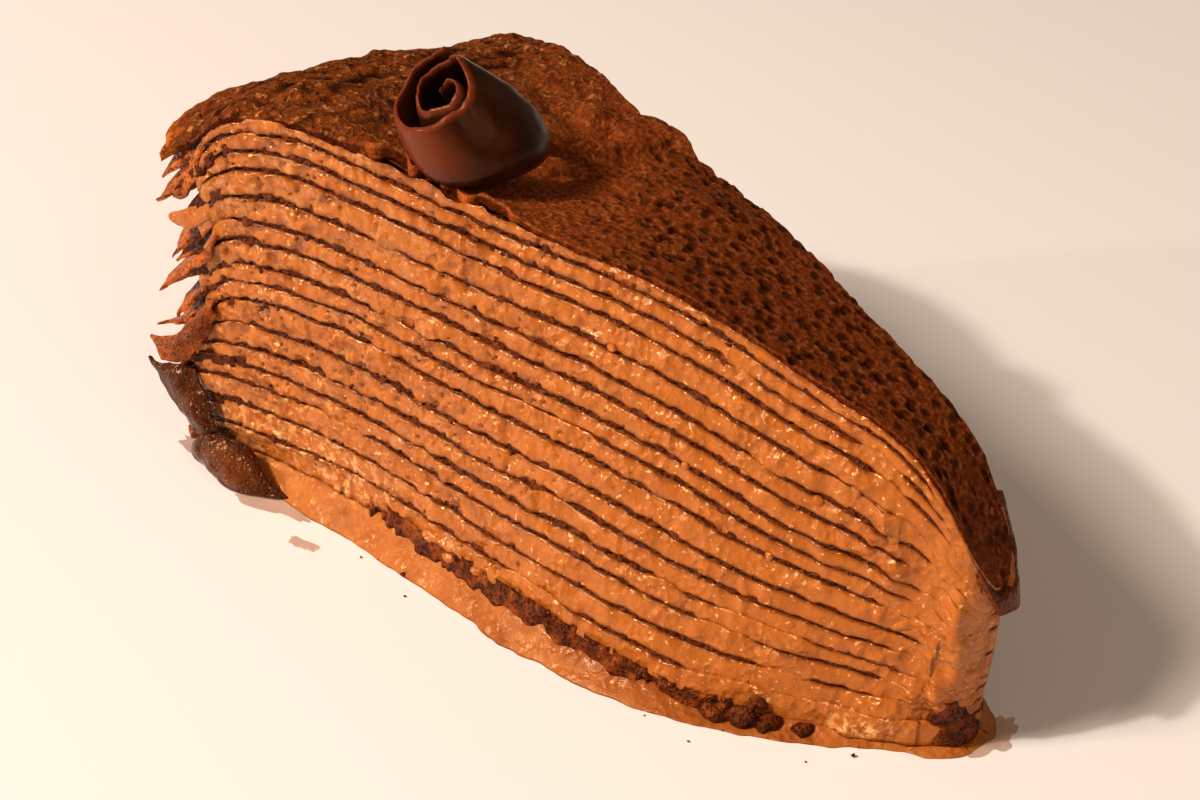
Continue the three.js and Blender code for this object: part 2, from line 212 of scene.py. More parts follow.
# Loose crepe at the rim's near corner: rows of points, each as its distance along the cut from the rim,
# its height and its distance out from the cut.
LEAVES = {
    "corner_leaf": (
        ((-9.8, 12.9, -1.2), (-7.2, 13.1, -0.8), (-4.6, 13.6, -0.9), (-1.6, 13.2, -1.5)),
        ((-7.4, 11.0, -0.6), (-5.2, 11.5, 0.2), (-3.0, 11.6, 0.0), (-0.4, 11.2, -1.0)),
        ((-3.9, 8.0, 0.2), (-2.3, 8.7, 0.8), (-0.9, 9.1, 0.5), (0.7, 9.0, -0.5)),
        ((-0.6, 4.8, 0.8), (0.5, 5.5, 1.2), (1.6, 6.1, 1.0), (2.9, 6.5, 0.2)),
    ),
    "corner_fold": (
        ((-0.9, 3.8, 0.6), (0.6, 5.6, 1.6), (2.2, 6.7, 1.7), (3.7, 7.2, 1.2), (4.8, 6.9, 0.2)),
        ((-1.0, 2.0, 1.0), (1.6, 3.6, 2.6), (4.0, 4.6, 2.9), (6.0, 5.1, 1.8), (7.8, 4.6, 0.3)),
        ((0.3, 0.8, 1.2), (3.4, 1.7, 2.8), (6.0, 2.3, 2.9), (8.4, 2.7, 2.0), (10.6, 2.2, 0.4)),
        ((2.5, 0.4, 1.8), (5.8, 0.4, 3.2), (8.8, 0.4, 2.9), (11.8, 0.4, 2.0), (14.6, 0.4, 0.5)),
    ),
    "orange_leaf": (
        ((-11.0, 15.2, -3.0), (-8.3, 16.0, -2.3), (-4.9, 18.4, -2.0)),
        ((-10.2, 13.4, -3.2), (-7.7, 14.2, -2.9), (-4.6, 16.2, -2.2)),
        ((-9.0, 12.0, -3.0), (-6.9, 12.6, -2.6), (-4.0, 14.2, -2.0)),
    ),
    "second_leaf": (
        ((-0.6, 45.8, -1.0), (1.2, 46.5, -0.7), (3.1, 46.9, -0.5)),
        ((-2.2, 42.3, -1.2), (-0.4, 42.9, -0.8), (1.4, 43.2, -0.6)),
        ((-4.2, 38.3, -1.5), (-2.8, 38.7, -1.2), (-1.3, 39.5, -1.0)),
    ),
    "middle_leaf": (
        ((3.8, 35.6, -0.3), (3.3, 33.8, -0.2), (2.8, 31.9, -0.2)),
        ((1.1, 32.6, -0.5), (0.5, 31.3, -0.3), (0.0, 29.8, -0.2)),
        ((-1.4, 29.6, -0.8), (-1.7, 28.9, -0.7), (-2.0, 28.1, -0.6)),
        ((-4.1, 26.6, -1.0), (-4.1, 26.3, -1.0), (-4.1, 26.0, -1.0)),
    ),
    "lower_leaf": (
        ((2.9, 26.0, -0.9), (2.2, 24.8, -0.2), (2.6, 23.4, -0.8)),
        ((-0.4, 23.1, -0.8), (-0.5, 21.6, 0.1), (0.6, 20.2, -0.7)),
        ((-3.5, 19.4, -0.9), (-3.1, 17.9, 0.0), (-1.6, 16.8, -0.7)),
        ((-5.8, 16.6, -1.0), (-5.0, 15.4, -0.2), (-3.4, 14.4, -0.8)),
    ),
}
# How orange a leaf is at its edges and in its middle: a painted glow of light through the thin leaf, and on the
# corner fold a painted pool of light in its middle.
LEAF_ORANGE = {
    "corner_leaf": (0.1, 0.25),
    "corner_fold": (0.0, 0.9),
    "orange_leaf": (0.9, 1.4),
    "second_leaf": (0.6, 1.0),
    "lower_leaf": (0.8, 0.25),
}
LEAF_ORANGE_ELSEWHERE = (0.5, 0.9)
CORNER_CRUMPLE = 1.7
LEAF_LOWEST = 0.45
CUT_RISE = RIM_WIDTH / 2 - 1.5  # of the near cut's plane across the slice, over its whole length

# A leaf that the cream covers.
COATED_LEAF = (
    ((-4.3, 35.9, -0.6), (-1.7, 37.8, -0.6), (1.1, 39.1, -0.6), (3.6, 40.2, -0.8)),
    ((-4.0, 35.0, -0.5), (-1.4, 36.2, -0.4), (1.3, 37.9, -0.4), (3.7, 39.3, -0.7)),
    ((-3.1, 34.5, -0.6), (-0.8, 35.5, -0.6), (1.7, 37.2, -0.6), (4.0, 38.6, -0.8)),
)

# The top crepe's edge that hangs over the tip: turns go from -1 at the near side to 1 at the far one.
TIP_FLAP_FROM = -0.3
TIP_FLAP_REACH = 5.2
TIP_FLAP_ROUNDNESS = 1.6
TIP_FLAP_LENGTHS = (0.07, 0.27)  # shares of the height
TIP_FLAP_SHORTER = 0.75
TIP_FLAP_TOP = 0.988
TIP_FLAP_OUT = (-0.9, 0.3)  # at its upper edge and past its shoulder
TIP_FLAP_SHOULDER = 0.22
TIP_FLAP_FLARE = 0.4
TIP_FLAP_TONE = 0.35
TIP_MIDDLE = 100.0  # station that it stands off from

# Lumps on the near face: station, share of the height, way out, half sizes along, up and out, and turn.
CREAM_LUMPS = (
    (90.1, 0.84, -0.1, 1.1, 0.8, 0.6, 30), (85.3, 0.83, -0.2, 1.0, 0.7, 0.6, 0),
    (94.8, 0.79, -0.1, 1.0, 1.4, 0.7, -20), (96.5, 0.73, -0.1, 1.2, 1.0, 0.7, 0),
    (91.7, 0.80, -0.1, 0.8, 1.2, 0.6, 15), (88.0, 0.72, -0.1, 0.8, 0.7, 0.5, 0),
    (104.6, 0.50, 0.0, 0.7, 2.2, 0.8, 10), (105.8, 0.36, 0.1, 0.6, 1.8, 0.8, -15),
    (104.9, 0.23, 0.1, 1.0, 1.3, 0.8, 30), (102.8, 0.38, -0.1, 0.8, 0.8, 0.6, 0),
    (97.5, 0.08, 0.0, 2.4, 1.1, 0.7, 15), (99.6, 0.48, -0.2, 1.6, 0.7, 0.5, 30),
    (101.0, 0.30, -0.1, 1.3, 1.0, 0.7, 25), (98.6, 0.25, -0.2, 1.4, 0.7, 0.6, 35),
    (40.5, 0.115, 0.4, 1.9, 1.0, 0.8, -15), (43.4, 0.095, 0.4, 1.3, 0.8, 0.7, 0),
    (48.0, 0.10, 0.2, 1.2, 0.6, 0.5, 0), (61.0, 0.80, -0.1, 0.7, 0.5, 0.4, 0),
    (56.0, 0.47, -0.1, 0.6, 0.6, 0.4, 0), (70.5, 0.56, -0.1, 0.8, 0.5, 0.4, 20),
    (72.8, 0.62, -0.1, 0.6, 0.7, 0.4, 0), (79.4, 0.69, -0.1, 0.7, 0.5, 0.4, 0),
    (75.5, 0.42, -0.1, 0.8, 0.5, 0.4, 0), (84.5, 0.52, -0.1, 0.6, 0.7, 0.4, 0),
    (88.6, 0.36, -0.1, 0.9, 0.5, 0.4, 10),
)
# Broad soft lumps of cream on the near face: station, share of the height, their half sizes, and rise.
FACE_BUMPS = (
    (104.6, 0.66, 1.6, 0.10, 0.7), (104.8, 0.50, 2.0, 0.09, 1.0), (104.4, 0.36, 2.4, 0.07, 0.9),
    (102.4, 0.27, 2.6, 0.05, 1.1), (99.8, 0.14, 3.2, 0.07, 1.7), (97.0, 0.05, 2.8, 0.04, 1.2),
    (103.4, 0.07, 2.8, 0.06, 1.3), (92.0, 0.83, 2.6, 0.035, 0.8), (95.6, 0.76, 1.6, 0.05, 0.9),
    (97.6, 0.63, 1.1, 0.08, 0.5), (43.0, 0.10, 4.0, 0.02, 0.5), (104.9, 0.62, 0.7, 0.09, 0.9),
    (105.6, 0.45, 0.6, 0.11, 1.1), (103.2, 0.42, 0.7, 0.07, 0.8), (102.0, 0.28, 0.8, 0.05, 0.9),
    (104.4, 0.29, 0.7, 0.06, 0.9), (90.2, 0.60, 1.2, 0.03, 0.5), (87.0, 0.77, 1.0, 0.03, 0.6),
    (11.0, 0.135, 9.0, 0.024, 1.1),
)
# Crepe that shows through the cream: station, share of the height, half sizes, and strength.
STAINS = (
    (94.8, 0.74, 1.9, 0.03, 1), (96.8, 0.70, 1.7, 0.04, 1), (98.6, 0.67, 1.2, 0.04, 1),
    (6.0, 0.15, 3.0, 0.015, 1), (103.6, 0.16, 1.6, 0.03, 1),
)
# The rolled end of the base crepe and the torn crepe at the tip, in the same way as CREAM_LUMPS.
CREPE_LUMPS = (
    (86.6, 0.045, 0.9, 2.1, 1.5, 1.3, -15), (89.2, 0.02, 0.8, 1.6, 1.2, 1.2, 0),
    (92.6, 0.015, 0.6, 1.4, 1.0, 1.0, 0), (87.6, 0.095, 0.4, 1.3, 0.7, 0.8, -20),
    (83.5, 0.03, 0.8, 1.9, 1.0, 1.1, -10),
)
TIP_LUMPS = (
    (105.4, 0.20, 0.3, 1.3, 2.4, 0.6, -35), (106.4, 0.15, 0.2, 1.8, 2.8, 0.6, 0),
    (106.9, 0.09, 0.4, 2.4, 2.2, 0.7, 0), (106.0, 0.06, 0.5, 2.0, 1.3, 0.6, 0),
)

# Films of sauce on the floor: name, middle, half sizes, turn, height, and seed of its outline.
PUDDLES = (
    ("sauce_at_tip", (106.2, 2.5), (2.6, 4.6), -10, 0.08, 161),
    ("sauce_at_corner", (-2.5, -24.5), (4.5, 2.0), -8, 0.08, 163),
    ("sauce_at_foot", (12.5, -26.0), (7.0, 1.9), 8, 0.08, 165),
    ("small_smear", (22.6, -28.9), (2.6, 0.8), 10, 0.12, 167),
)
# Crumbs on the floor: their half sizes, and where along the near cut they lie.
CRUMB_SIZES = (0.12, 0.34)
CRUMB_STATIONS = (2, 104)
CRUMB_DISTANCES = (1.2, 6.5)  # from the foot of the near cut
CRUMB_SEED = 171

# Lights: name, place, size, power as a share of the key light's, and colour. Places and sizes of the stage
# are in metres.
LIGHTS = (
    ("window", (-0.32, -0.72, 0.82), 0.28, 1.0, (1.0, 0.87, 0.7)),
    ("sun_patch", (-0.34, -0.74, 0.74), 0.05, 0.65, (1.0, 0.93, 0.82)),
    ("low_lamp", (-0.62, -0.9, 0.32), 0.05, 0.24, (1.0, 0.92, 0.8)),
)
FILL_LIGHT = ("fill", (0.75, -0.25, 0.6), 0.6)
FILL_COLOUR = (1.0, 0.86, 0.7)
LIGHT_AIM = (0, 0, 0.025)
SKY_COLOUR = (1.0, 0.78, 0.56, 1)
CAMERA_SPOT = (0.184996, -0.198662, 0.19087)
CAMERA_AIM = (-0.01144, 0.00936, 0.0114)
CAMERA_ROLL = 1.51  # degrees
FLOOR_SIZE = 8

# Creases and rolls of the top crepe round the curl: points of each, its height and its half width.
TOP_FOLDS = (
    (((1, 21), (10, 22), (15, 22.5), (24, 20)), 0.9, 3.6),
    (((13.5, 15.1), (21.7, 13.1), (26.9, 15.6), (29.2, 16.2), (35.3, 18.4)), -1.0, 1.1),
    (((22.4, 11.8), (25.1, 12.1), (31.6, 11.4), (34.9, 10.3)), 1.1, 1.4),
    (((28.8, 8.4), (36.0, 7.2)), -1.3, 2.2),
    (((37.3, 2.6), (37.8, 5.7), (38.1, 9.0)), -2.0, 1.1),
    (((33.9, 13.8), (38.2, 16.5), (44.3, 17.6)), 1.2, 2.2),
    (((35.9, 9.4), (39.8, 10.6), (43.7, 14.2), (48.4, 16.9)), -1.0, 0.9),
    (((34.4, 0.5), (37.9, 2.0), (40.4, 4.3), (42.3, 7.4), (43.3, 11.7)), 1.3, 1.0),
    (((37.5, -4.5), (40.4, -1.4), (43.0, 2.0), (45.5, 6.0)), -0.8, 1.8),
    (((12.3, -11.9), (19.8, -12.4), (25.3, -14.2)), 0.7, 2.0),
    (((7.6, -20.5), (15.8, -17.0), (22.7, -16.5)), -0.6, 1.2),
    (((3.0, -9.0), (9.0, -4.0), (20.0, -4.5), (27.0, -2.0)), -0.6, 1.1),
    (((4.0, 2.0), (12.0, 5.0), (22.0, 3.5)), 0.7, 1.6),
    (((26.0, -21.0), (30.0, -19.0), (38.0, -18.2), (44.0, -14.0)), 0.7, 1.3),
)
# Top crepe: wrinkled at the rim, pitted towards the tip, and how both are painted.
TOP_FLATNESS = 0.4
TOP_RIM_SPAN = (8, 46)
PITS_LEAST = 0.25
PITS_SPAN = (36, 62)
PIT_RADIUS = (0.3, 0.2)  # of a pit in its cell, and how much that varies
PIT_EDGE = 0.22
PIT_LIMIT = 0.25
TEAR_RAGS = (0.95, -0.45)
# Painted shade in the creases of the rim's wrinkles: its strength, and the wrinkle depths at which it is full
# and gone.
CREASE_SHADE = 0.85
CREASE_SHADE_LIMITS = (-0.4, -0.06)
LIT_TONE = 0.9
LIT_LIMITS = (-0.2, 0.4)
TOP_FLAP_SPAN = (0.3, 5)
TOP_EDGE_PART = 0.75  # of its thickness that shows as a cut edge

# Skirt: bulge of its foot and hollow of its middle, and where it is stained and runs.
FOOT_MOST = 0.5
FOOT_RAMP = 0.5
MIDDLE_HOLLOW = 0.5
SKIRT_SET_BACK = 0.45
SKIRT_LIFT = 0.15
SKIRT_STAIN_SPAN = (34, 62, 90, 98)
SKIRT_STAIN = (0.3, 0.72)
SKIRT_STAIN_LOW = 0.5
SKIRT_STAIN_LEVELS = (0.3, 0.9)
RUNNY = 0.8
RUNNY_SPAN = (20, 48)
PATCH_LIMITS = (-0.4, 0.4)
RUNNY_LIMITS = (0, 0.4)

# Where the top crepe's near edge is torn and turned up: begins, full, full, ends.
TORN_EDGE = (24, 30, 44, 52)
TORN_RISE = (0.4, 0.8, -0.4)  # its height, how much that varies, and the noise's lower limit
TORN_RISE_NOISE = (1, (2.2, 2.2, 50), 100)

# How deep into the cut faces the relief of each kind of layer reaches.
CREAM_REACH = 0.7
CREPE_REACH = 0.6
SKIRT_REACH = 1.6
TORN_REACH = 1.3
LIT_REACH = 0.8
TOP_CREAM_REACH = 1.5

# Cream: where it is frothy, its drops, bubbles and lips, and where it is wet or stained.
FROTH_LIMITS = (-0.6, 0.3)  # patchy noise at which it is smooth, and frothy
FROTH_LOSS = 0.75
FROTH_LOSS_SPAN = (45, 85)
RIM_FROTH = 0.6
RIM_FROTH_SPAN = (15, 60)
FROTH_LEAST = 0.1
DROP_LIMIT = 0.35
DROP_HEIGHT = 0.6
BUBBLE_RADIUS = 0.42
BUBBLE_EDGE = 0.3
BUBBLE_LIMIT = 0.74  # of a cell's number, above which it holds a bubble
CREAM_PIT_DEPTH = 0.34
INSET_LENGTH = 4
UNEVEN_LENGTH = 1.5
UNEVEN_LEAST = -0.3
LIP_OVERLAP = 0.06
LIP_LIMIT = 0.05
LONG_LIP = 0.5
LONG_LIP_LIMITS = (0.05, 0.5)
LIP_DOWN = 0.5
LIP_UP = 0.2
LIP_SHARE = 0.66  # of the crepe's thickness, where the knife has smeared cream over it
LIP_INSIDE = 0.15  # of the lips' rise and drop that is left away from the faces
TORN_CREAM_OUT = 0.35
TOP_CREAM_DROP = 2.2
# Width of the painted shade along the cream's seams with the crepes.
SEAM_SHADE_WIDTH = 0.28
# Wet cream is glossier and is painted paler there, a painted highlight: most at the tip's foot, then at the
# rim's corner and in sheen patches.
WET_STATION = 97.5  # where the foot is wettest
WET_LENGTH = 3.5
WET_LEVEL = 0.06
WET_HEIGHT = 0.07
WET_AT_TIP = 1.5
WET_CORNER = 0.6
WET_CORNER_SPAN = (24, 40)
WET_CORNER_LEVELS = (0.14, 0.3)
# Sheen patches towards the rim: glossier, and painted paler as a painted highlight.
SHEEN = 0.3
SHEEN_LIMITS = (-0.1, 0.4)
SHEEN_SPAN = (20, 62)
STAIN = 0.6
STAIN_MOST = 0.75
STAIN_LIMITS = (-0.9, 0.6)

# Crepes: pores, thicker and thinner parts of the edge, and how it is painted.
BASE_COARSENESS = 2.0
BEAD_HEIGHTS = {False: 0.3, True: 0.42}  # on a plain crepe and on the base crepe
PORE_RADIUS = 0.5
PORE_EDGE = 0.3
PORE_LIMIT = 0.35
PORE_DEPTH = 0.42
HIDDEN_DEPTH = 1.3  # of an edge that is smeared over
LOOSE_THINNESS = 0.5
LOOSE_THIN_FROM = (0.1, 1)
BAND_SPAN = (4, 15)
BAND_LIMITS = (-0.6, 0.5)
BAND_TURN = 3.7
BAND_OUT = 0.32
EDGE_THICKNESS = 1.05
KNOT_THICKNESS = 1.2
BAND_THICKNESS = 0.95
BASE_EDGE_THICKNESS = 1.2
BASE_EDGE_OUT = 0.7
LOWEST = (0.3, 0.5)  # least height of a crepe's underside, and how much higher its top is there
RUST = 0.6
RUST_LIMITS = (-0.3, 0.5)
# How far out on a loose edge the painted orange glow of light through the thin crepe begins and is full.
FLAP_TONE_SPAN = (0.2, 2.8)
BEAD_LIMITS = (0.04, 0.3)
ARCH_WIDTH = 2.5
ARCH_DROOP = 0.25

# Noises: the height of each, the size of its lumps, and its seed; bubbles and pits have no height here.
LAYER_WAVES = ((1, (13, 13, 9), 1), (0.4, (5, 5, 4), 2))
SMEAR_CHANCE = (1, (9, 9, 2.2), 11)
RIM_UNEVENNESS = (0.9, (3, 3, 2), 21)
FROTH_PATCHES = (1, 12, 31)
CREAM_SURFACE = ((0.22, (3, 3, 3.4), 32), (0.16, 1.2, 33))
CREAM_DROPS = (1, (1.7, 1.7, 3.0), 34)
CREAM_GRAIN = (0.13, 0.7, 36)
CREAM_KNOBS = (0.26, (1.7, 1.7, 1.3), 38)
CREAM_LIPS = (1, 1.5, 41)
CREAM_LONG_LIPS = (1, (8, 8, 50), 191)
TORN_CREAM = (1, (1.5, 1.5, 50), 44)
CREAM_BUBBLES = (0.85, 35)
SEAM_SHADE_WIDTHS = (0.14, 1.3, 37)
STAIN_PATCHES = (1, 1.6, 45)
SHEEN_PATCHES = (1, (4, 4, 2.4), 46)
FLAP_RAGS = (0.16, (2.2, 2.2, 50), 51)
FLAP_FINE_RAGS = (0.08, (0.7, 0.7, 50), 52)
FLAP_CURLS = (0.1, (5, 5, 50), 61)
CREPE_BEADS = (0.16, 1.8, 72)
CREPE_KNOTS = (0.55, (1.2, 1.2, 50), 87)
CREPE_THICKENING = (0.42, (3.5, 3.5, 50), 81)
CREPE_DRIFT = (0.16, (1.5, 1.5, 50), 85)
CREPE_GRAIN = (0.8, 71)
CREPE_PORES = (0.95, 73)
BASE_RUST = (1, 1.4, 75)
FOLD_RAGS = (0.6, (2.2, 2.2, 50), 101)
TOP_PITS = ((1.75, 1.55, 3), 95)
TOP_WRINKLES = ((0.42, (3.2, 6, 9), 91), (0.4, (1.5, 2.2, 9), 92))
TOP_SURFACE = ((0.14, (6, 5, 9), 93), (0.06, 1.0, 94))
TOP_RIM_GRAIN = (0.2, 0.9, 96)
TOP_EDGE = ((0.16, 0.7, 97), (0.2, 2.3, 98))
TOP_TEARS = (1, (1.3, 1.3, 50), 99)
SKIRT_FOOT = ((0.55, (4.5, 4.5, 30), 111), (0.22, (1.6, 1.6, 2), 112))
SKIRT_STREAKS = ((0.14, (7, 7, 0.7), 115), (0.1, (2.2, 2.2, 0.9), 116))
SKIRT_GRAIN = (0.05, 0.7, 113)
SKIRT_STAINS = (1, (5, 5, 0.8), 114)
SKIRT_RUNS = (1, (2.6, 2.6, 1.2), 117)
TIP_FLAP_RAGS = (0.35, 0.6, 181)
TIP_FLAP_BUMPS = (0.2, 2.0, 182)
LEAF_CRUMPLES = ((0.42, 2.6, 131), (0.14, 1.0, 134))
CURL_DENTS = ((0.16, 3.2, 121), (0.05, (1.2, 1.2, 3), 122))
CURL_TORN_MOUTH = ((0.45, 1, 123), (0.2, 0.35, 124))


def mix(low, high, share):
    return low + (high - low) * share


def ease(value, low, high):
    """Smooth step from 0 at low to 1 at high."""
    t = np.clip((value - low) / (high - low), 0, 1)
    return t * t * (3 - 2 * t)


def falling(value, full, gone):
    """Smooth step from 1 at full down to 0 at gone."""
    return ease(-value, -gone, -full)


def bell(value, half_width):
    """1 at 0, falling off on both sides."""
    return np.exp(-((value / half_width) ** 2))


def hermite(low, high, slope_low, slope_high, t):
    """Smooth curve between two values that have those slopes."""
    early = t * (1 - t) ** 2
    late = t * t * (t - 1)
    return mix(low, high, t * t * (3 - 2 * t)) + slope_low * early + slope_high * late


def base_sway(station, share, across):
    """Rise and fall of the lowest layers at the near face."""
    full_from, full_to, gone = BASE_SWAY_HEIGHTS
    lift = np.interp(station, *zip(*BASE_SWAY))
    lift = lift * ease(share, 0, full_from) * falling(share, full_to, gone)
    return lift * falling(across, *BASE_SWAY_DEPTH)


# ---------------------------------------------------------------- repeatable noise


# Two turned grids, so that the noise's own grid doesn't show.
TWISTS = [np.array(Euler(turn).to_matrix()) for turn in ((0.7, 0.5, 0.9), (1.9, 1.1, 0.3))]


def scatter(cells):
    """A number from 0 to 1 for each row of whole numbers."""
    mixed = cells[:, 0] * 73856093 ^ cells[:, 1] * 19349663 ^ cells[:, 2] * 83492791
    mixed = ((mixed ^ (mixed >> 13)) * 1274126177) & 0x7FFFFFFF
    return ((mixed ^ (mixed >> 15)) & 0xFFFF) / 65535.0


def soft_noise(points, size, seed):
    """Smooth noise from -1 to 1 whose lumps are about size across; size may differ along x, y and z."""
    total = np.zeros(len(points))
    for number, twist in enumerate(TWISTS):
        scaled = (points / np.asarray(size, float)) @ twist + 17.31 * seed + 5.7 * number
        base = np.floor(scaled).astype(np.int64)
        part = scaled - base
        part = part * part * (3 - 2 * part)
        for corner in np.ndindex(2, 2, 2):
            weight = np.prod(np.where(corner, part, 1 - part), axis=1)
            total += weight * scatter(base + corner)
    return (total - 1) * 1.35


def relief_of(points, *noises, shift=0):
    """Sum of some of the noises listed above; shift moves their seeds, so that each layer has its own."""
    return sum(height * soft_noise(points, size, seed + shift) for height, size, seed in noises)


def bubbles(points, size, seed):
    """Distance to the nearest of scattered points, in cells of that size, and that point's own number."""
    scaled = points / np.asarray(size, float) + 7.77 * seed
    base = np.floor(scaled).astype(np.int64)
    nearest = np.full(len(points), 9.0)
    number = np.zeros(len(points))
    for corner in np.ndindex(3, 3, 3):
        cell = base + corner - 1
        middle = cell + np.stack([scatter(cell + shift) for shift in (101, 211, 307)], axis=1)
        distance = np.linalg.norm(scaled - middle, axis=1)
        closer = distance < nearest
        nearest = np.where(closer, distance, nearest)
        number = np.where(closer, scatter(cell + 401), number)
    return nearest, number


def seeded_random(seed):
    """Repeatable numbers from 0 to 1, one at each call."""
    state = [seed]

    def draw():
        state[0] = (state[0] * 1664525 + 1013904223) & 0xFFFFFFFF
        return state[0] / 4294967296

    return draw


# ---------------------------------------------------------------- form of the slice


def profile_height(share):
    """Height of the near face along the slice."""
    knots, heights = np.array(HEIGHT_PROFILE, float).T
    last = len(knots) - 1
    before = np.maximum(np.arange(last + 1) - 1, 0)
    after = np.minimum(np.arange(last + 1) + 1, last)
    slopes = (heights[after] - heights[before]) / (knots[after] - knots[before])
    at = np.clip(share, 0, 1)
    i = np.clip(np.searchsorted(knots, at) - 1, 0, last - 1)
    width = knots[i + 1] - knots[i]
    low, high = width * slopes[i], width * slopes[i + 1]
    return hermite(heights[i], heights[i + 1], low, high, (at - knots[i]) / width)


def level_height(share, x, y):
    """Height of a level of the stack over a point of the plan."""
    along = x / SLICE_LENGTH
    body = profile_height(along) - FAR_SIDE_DROP * (y + RIM_WIDTH / 2) / RIM_WIDTH
    sagged = share ** (1 + SAG_STRENGTH * ease(along, SAG_START, 1))
    nose = NOSE_DROP * np.maximum((along - NOSE_START) / (1 - NOSE_START), 0) ** NOSE_BEND
    return sagged * (body - nose * sagged**NOSE_SQUEEZE)


def edge_distance(x, side, share, inset):
    """Distance of a cut face from the middle line, with the rounded tip."""
    radius = mix(TIP_RADIUS_LOW, TIP_RADIUS_HIGH, share) - inset
    half = RIM_WIDTH / 2 - inset
    centre = SLICE_LENGTH - inset - radius
    lean = np.arcsin((half - radius) / centre)
    tangent = centre + radius * np.sin(lean)
    low, high = NEAR_BULGE if side < 0 else FAR_BULGE
    along = np.clip(x / tangent, 0, 1)
    bulge = mix(low, high, share) * np.sin(np.pi * along**BULGE_SKEW)
    straight = mix(half, radius * np.cos(lean), along) + bulge
    rounded = np.sqrt(np.maximum(radius**2 - (x - centre) ** 2, 0))
    return np.where(x > tangent, rounded, straight)


def level_point(station, across, share, inset):
    """Point of a level, for a station from rim to tip and a share of the way across from the near face."""
    radius = mix(TIP_RADIUS_LOW, TIP_RADIUS_HIGH, share) - inset
    x = station * (SLICE_LENGTH - inset - TIP_FLAT * radius) / SLICE_LENGTH
    near = -edge_distance(x, -1, share, inset)
    far = edge_distance(x, 1, share, inset)
    y = mix(near, far, across) + TIP_ASIDE * x / SLICE_LENGTH
    chord = math.sqrt(CAKE_RADIUS**2 - (RIM_WIDTH / 2) ** 2)
    bow = np.maximum(np.sqrt(CAKE_RADIUS**2 - y**2) - chord, 0)
    bowed = x - bow * (1 - x / SLICE_LENGTH) ** 2
    return np.stack([bowed, y, level_height(share, x, y)], axis=1)


def rim_outward(points):
    out = np.stack([points[:, 0] - CAKE_RADIUS, points[:, 1], np.zeros(len(points))], axis=1)
    return out / np.linalg.norm(out, axis=1)[:, None]


def top_relief(x, y):
    """Relief of the top crepe: its folds and the dip under the curl."""
    height = -DIP_DEPTH * bell(np.hypot(x - DIP_SPOT[0], y - DIP_SPOT[1]), DIP_RADIUS)
    for start, end, rise, half_width in PLEATS:
        run_x, run_y = end[0] - start[0], end[1] - start[1]
        length = math.hypot(run_x, run_y)
        off_x, off_y = x - start[0], y - start[1]
        along = (off_x * run_x + off_y * run_y) / length**2
        beside = (off_x * run_y - off_y * run_x) / length
        ends = np.clip(1 - (2 * along - 1) ** PLEAT_END_SHARPNESS, 0, 1)
        height = height + rise * ends * bell(beside, half_width)
    return height


def layer_shares():
    """Lower and upper level of each crepe, and of the cream above it, as shares of the full height."""
    level = SKIRT_THICKNESS
    crepes, creams = [], []
    for k in range(CREPE_COUNT):
        top = level + (BASE_CREPE_THICKNESS if k == 0 else CREPE_THICKNESS)
        crepes.append((level / FULL_THICKNESS, top / FULL_THICKNESS))
        level = top
        if k < CREPE_COUNT - 1:
            creams.append((level / FULL_THICKNESS, (level + CREAM_THICKNESSES[k]) / FULL_THICKNESS))
            level += CREAM_THICKNESSES[k]
    return crepes, creams


CREPE_SHARES, CREAM_SHARES = layer_shares()
CREPE_MIDDLES = [(low + high) / 2 for low, high in CREPE_SHARES]


def rim_droop(share, station, across):
    """How far the layers hang towards the rim: a little all round it, and more at the near cut."""
    reach, drop = (np.interp(share, CREPE_MIDDLES, values) for values in zip(*FLAP_TIPS))
    out = np.maximum(RIM_BEND_START - station, 0)
    at_cut = drop * (out / (RIM_BEND_START + reach)) ** FLAP_TIP_BEND
    inside = RIM_DROP * (out / RIM_BEND_START) ** FLAP_TIP_BEND
    return mix(inside, at_cut, np.exp(-across * RIM_WIDTH / CORNER_WIDTH))


def rim_push(share, station, across):
    """How far the layers reach out at the rim's near corner."""
    reach = np.interp(share, *zip(*RIM_PUSH))
    return reach * np.exp(-across * RIM_WIDTH / PUSH_WIDTH) * falling(station, 0, PUSH_LENGTH)


def fine_stations(step):
    """Stations from rim to tip, evenly spaced along the cut faces and round the tip."""
    start = SLICE_LENGTH - TIP_RADIUS_LOW
    straight = np.arange(0, start, step)
    turn = np.linspace(0, math.pi / 2, int(TIP_RADIUS_LOW * math.pi / 2 / step))
    return np.concatenate([straight, start + TIP_RADIUS_LOW * np.sin(turn)])


def crepe_stations(step):
    """The same, with a crepe's loose edge before the rim: from -1 at its end to 0."""
    return np.concatenate([np.linspace(-1, 0, LOOSE_EDGE_ROWS, endpoint=False), fine_stations(step)])


def mirrored(shares):
    """Shares from the near edge to the middle, carried on to the far edge."""
    half = np.array(shares, float)
    return np.concatenate([half, 1 - half[-2::-1]])


# ---------------------------------------------------------------- modelling


def deselect():
    if bpy.context.object and bpy.context.object.mode != "OBJECT":
        bpy.ops.object.mode_set(mode="OBJECT")
    bpy.ops.object.select_all(action="DESELECT")


def select_only(piece):
    deselect()
    piece.select_set(True)
    bpy.context.view_layer.objects.active = piece


def vertex_array(piece):
    spots = np.empty(len(piece.data.vertices) * 3)
    piece.data.vertices.foreach_get("co", spots)
    return spots.reshape(-1, 3)


def named(name):
    """The piece that was just made, under its name."""
    piece = bpy.context.object
    piece.name = piece.data.name = name
    return piece


def add_grid(name, row_count, column_count):
    """A flat grid from -1 to 1, with its rows along x and its columns along y."""
    deselect()
    bpy.ops.mesh.primitive_grid_add(x_subdivisions=row_count - 1, y_subdivisions=column_count - 1, size=2)
    return named(name)


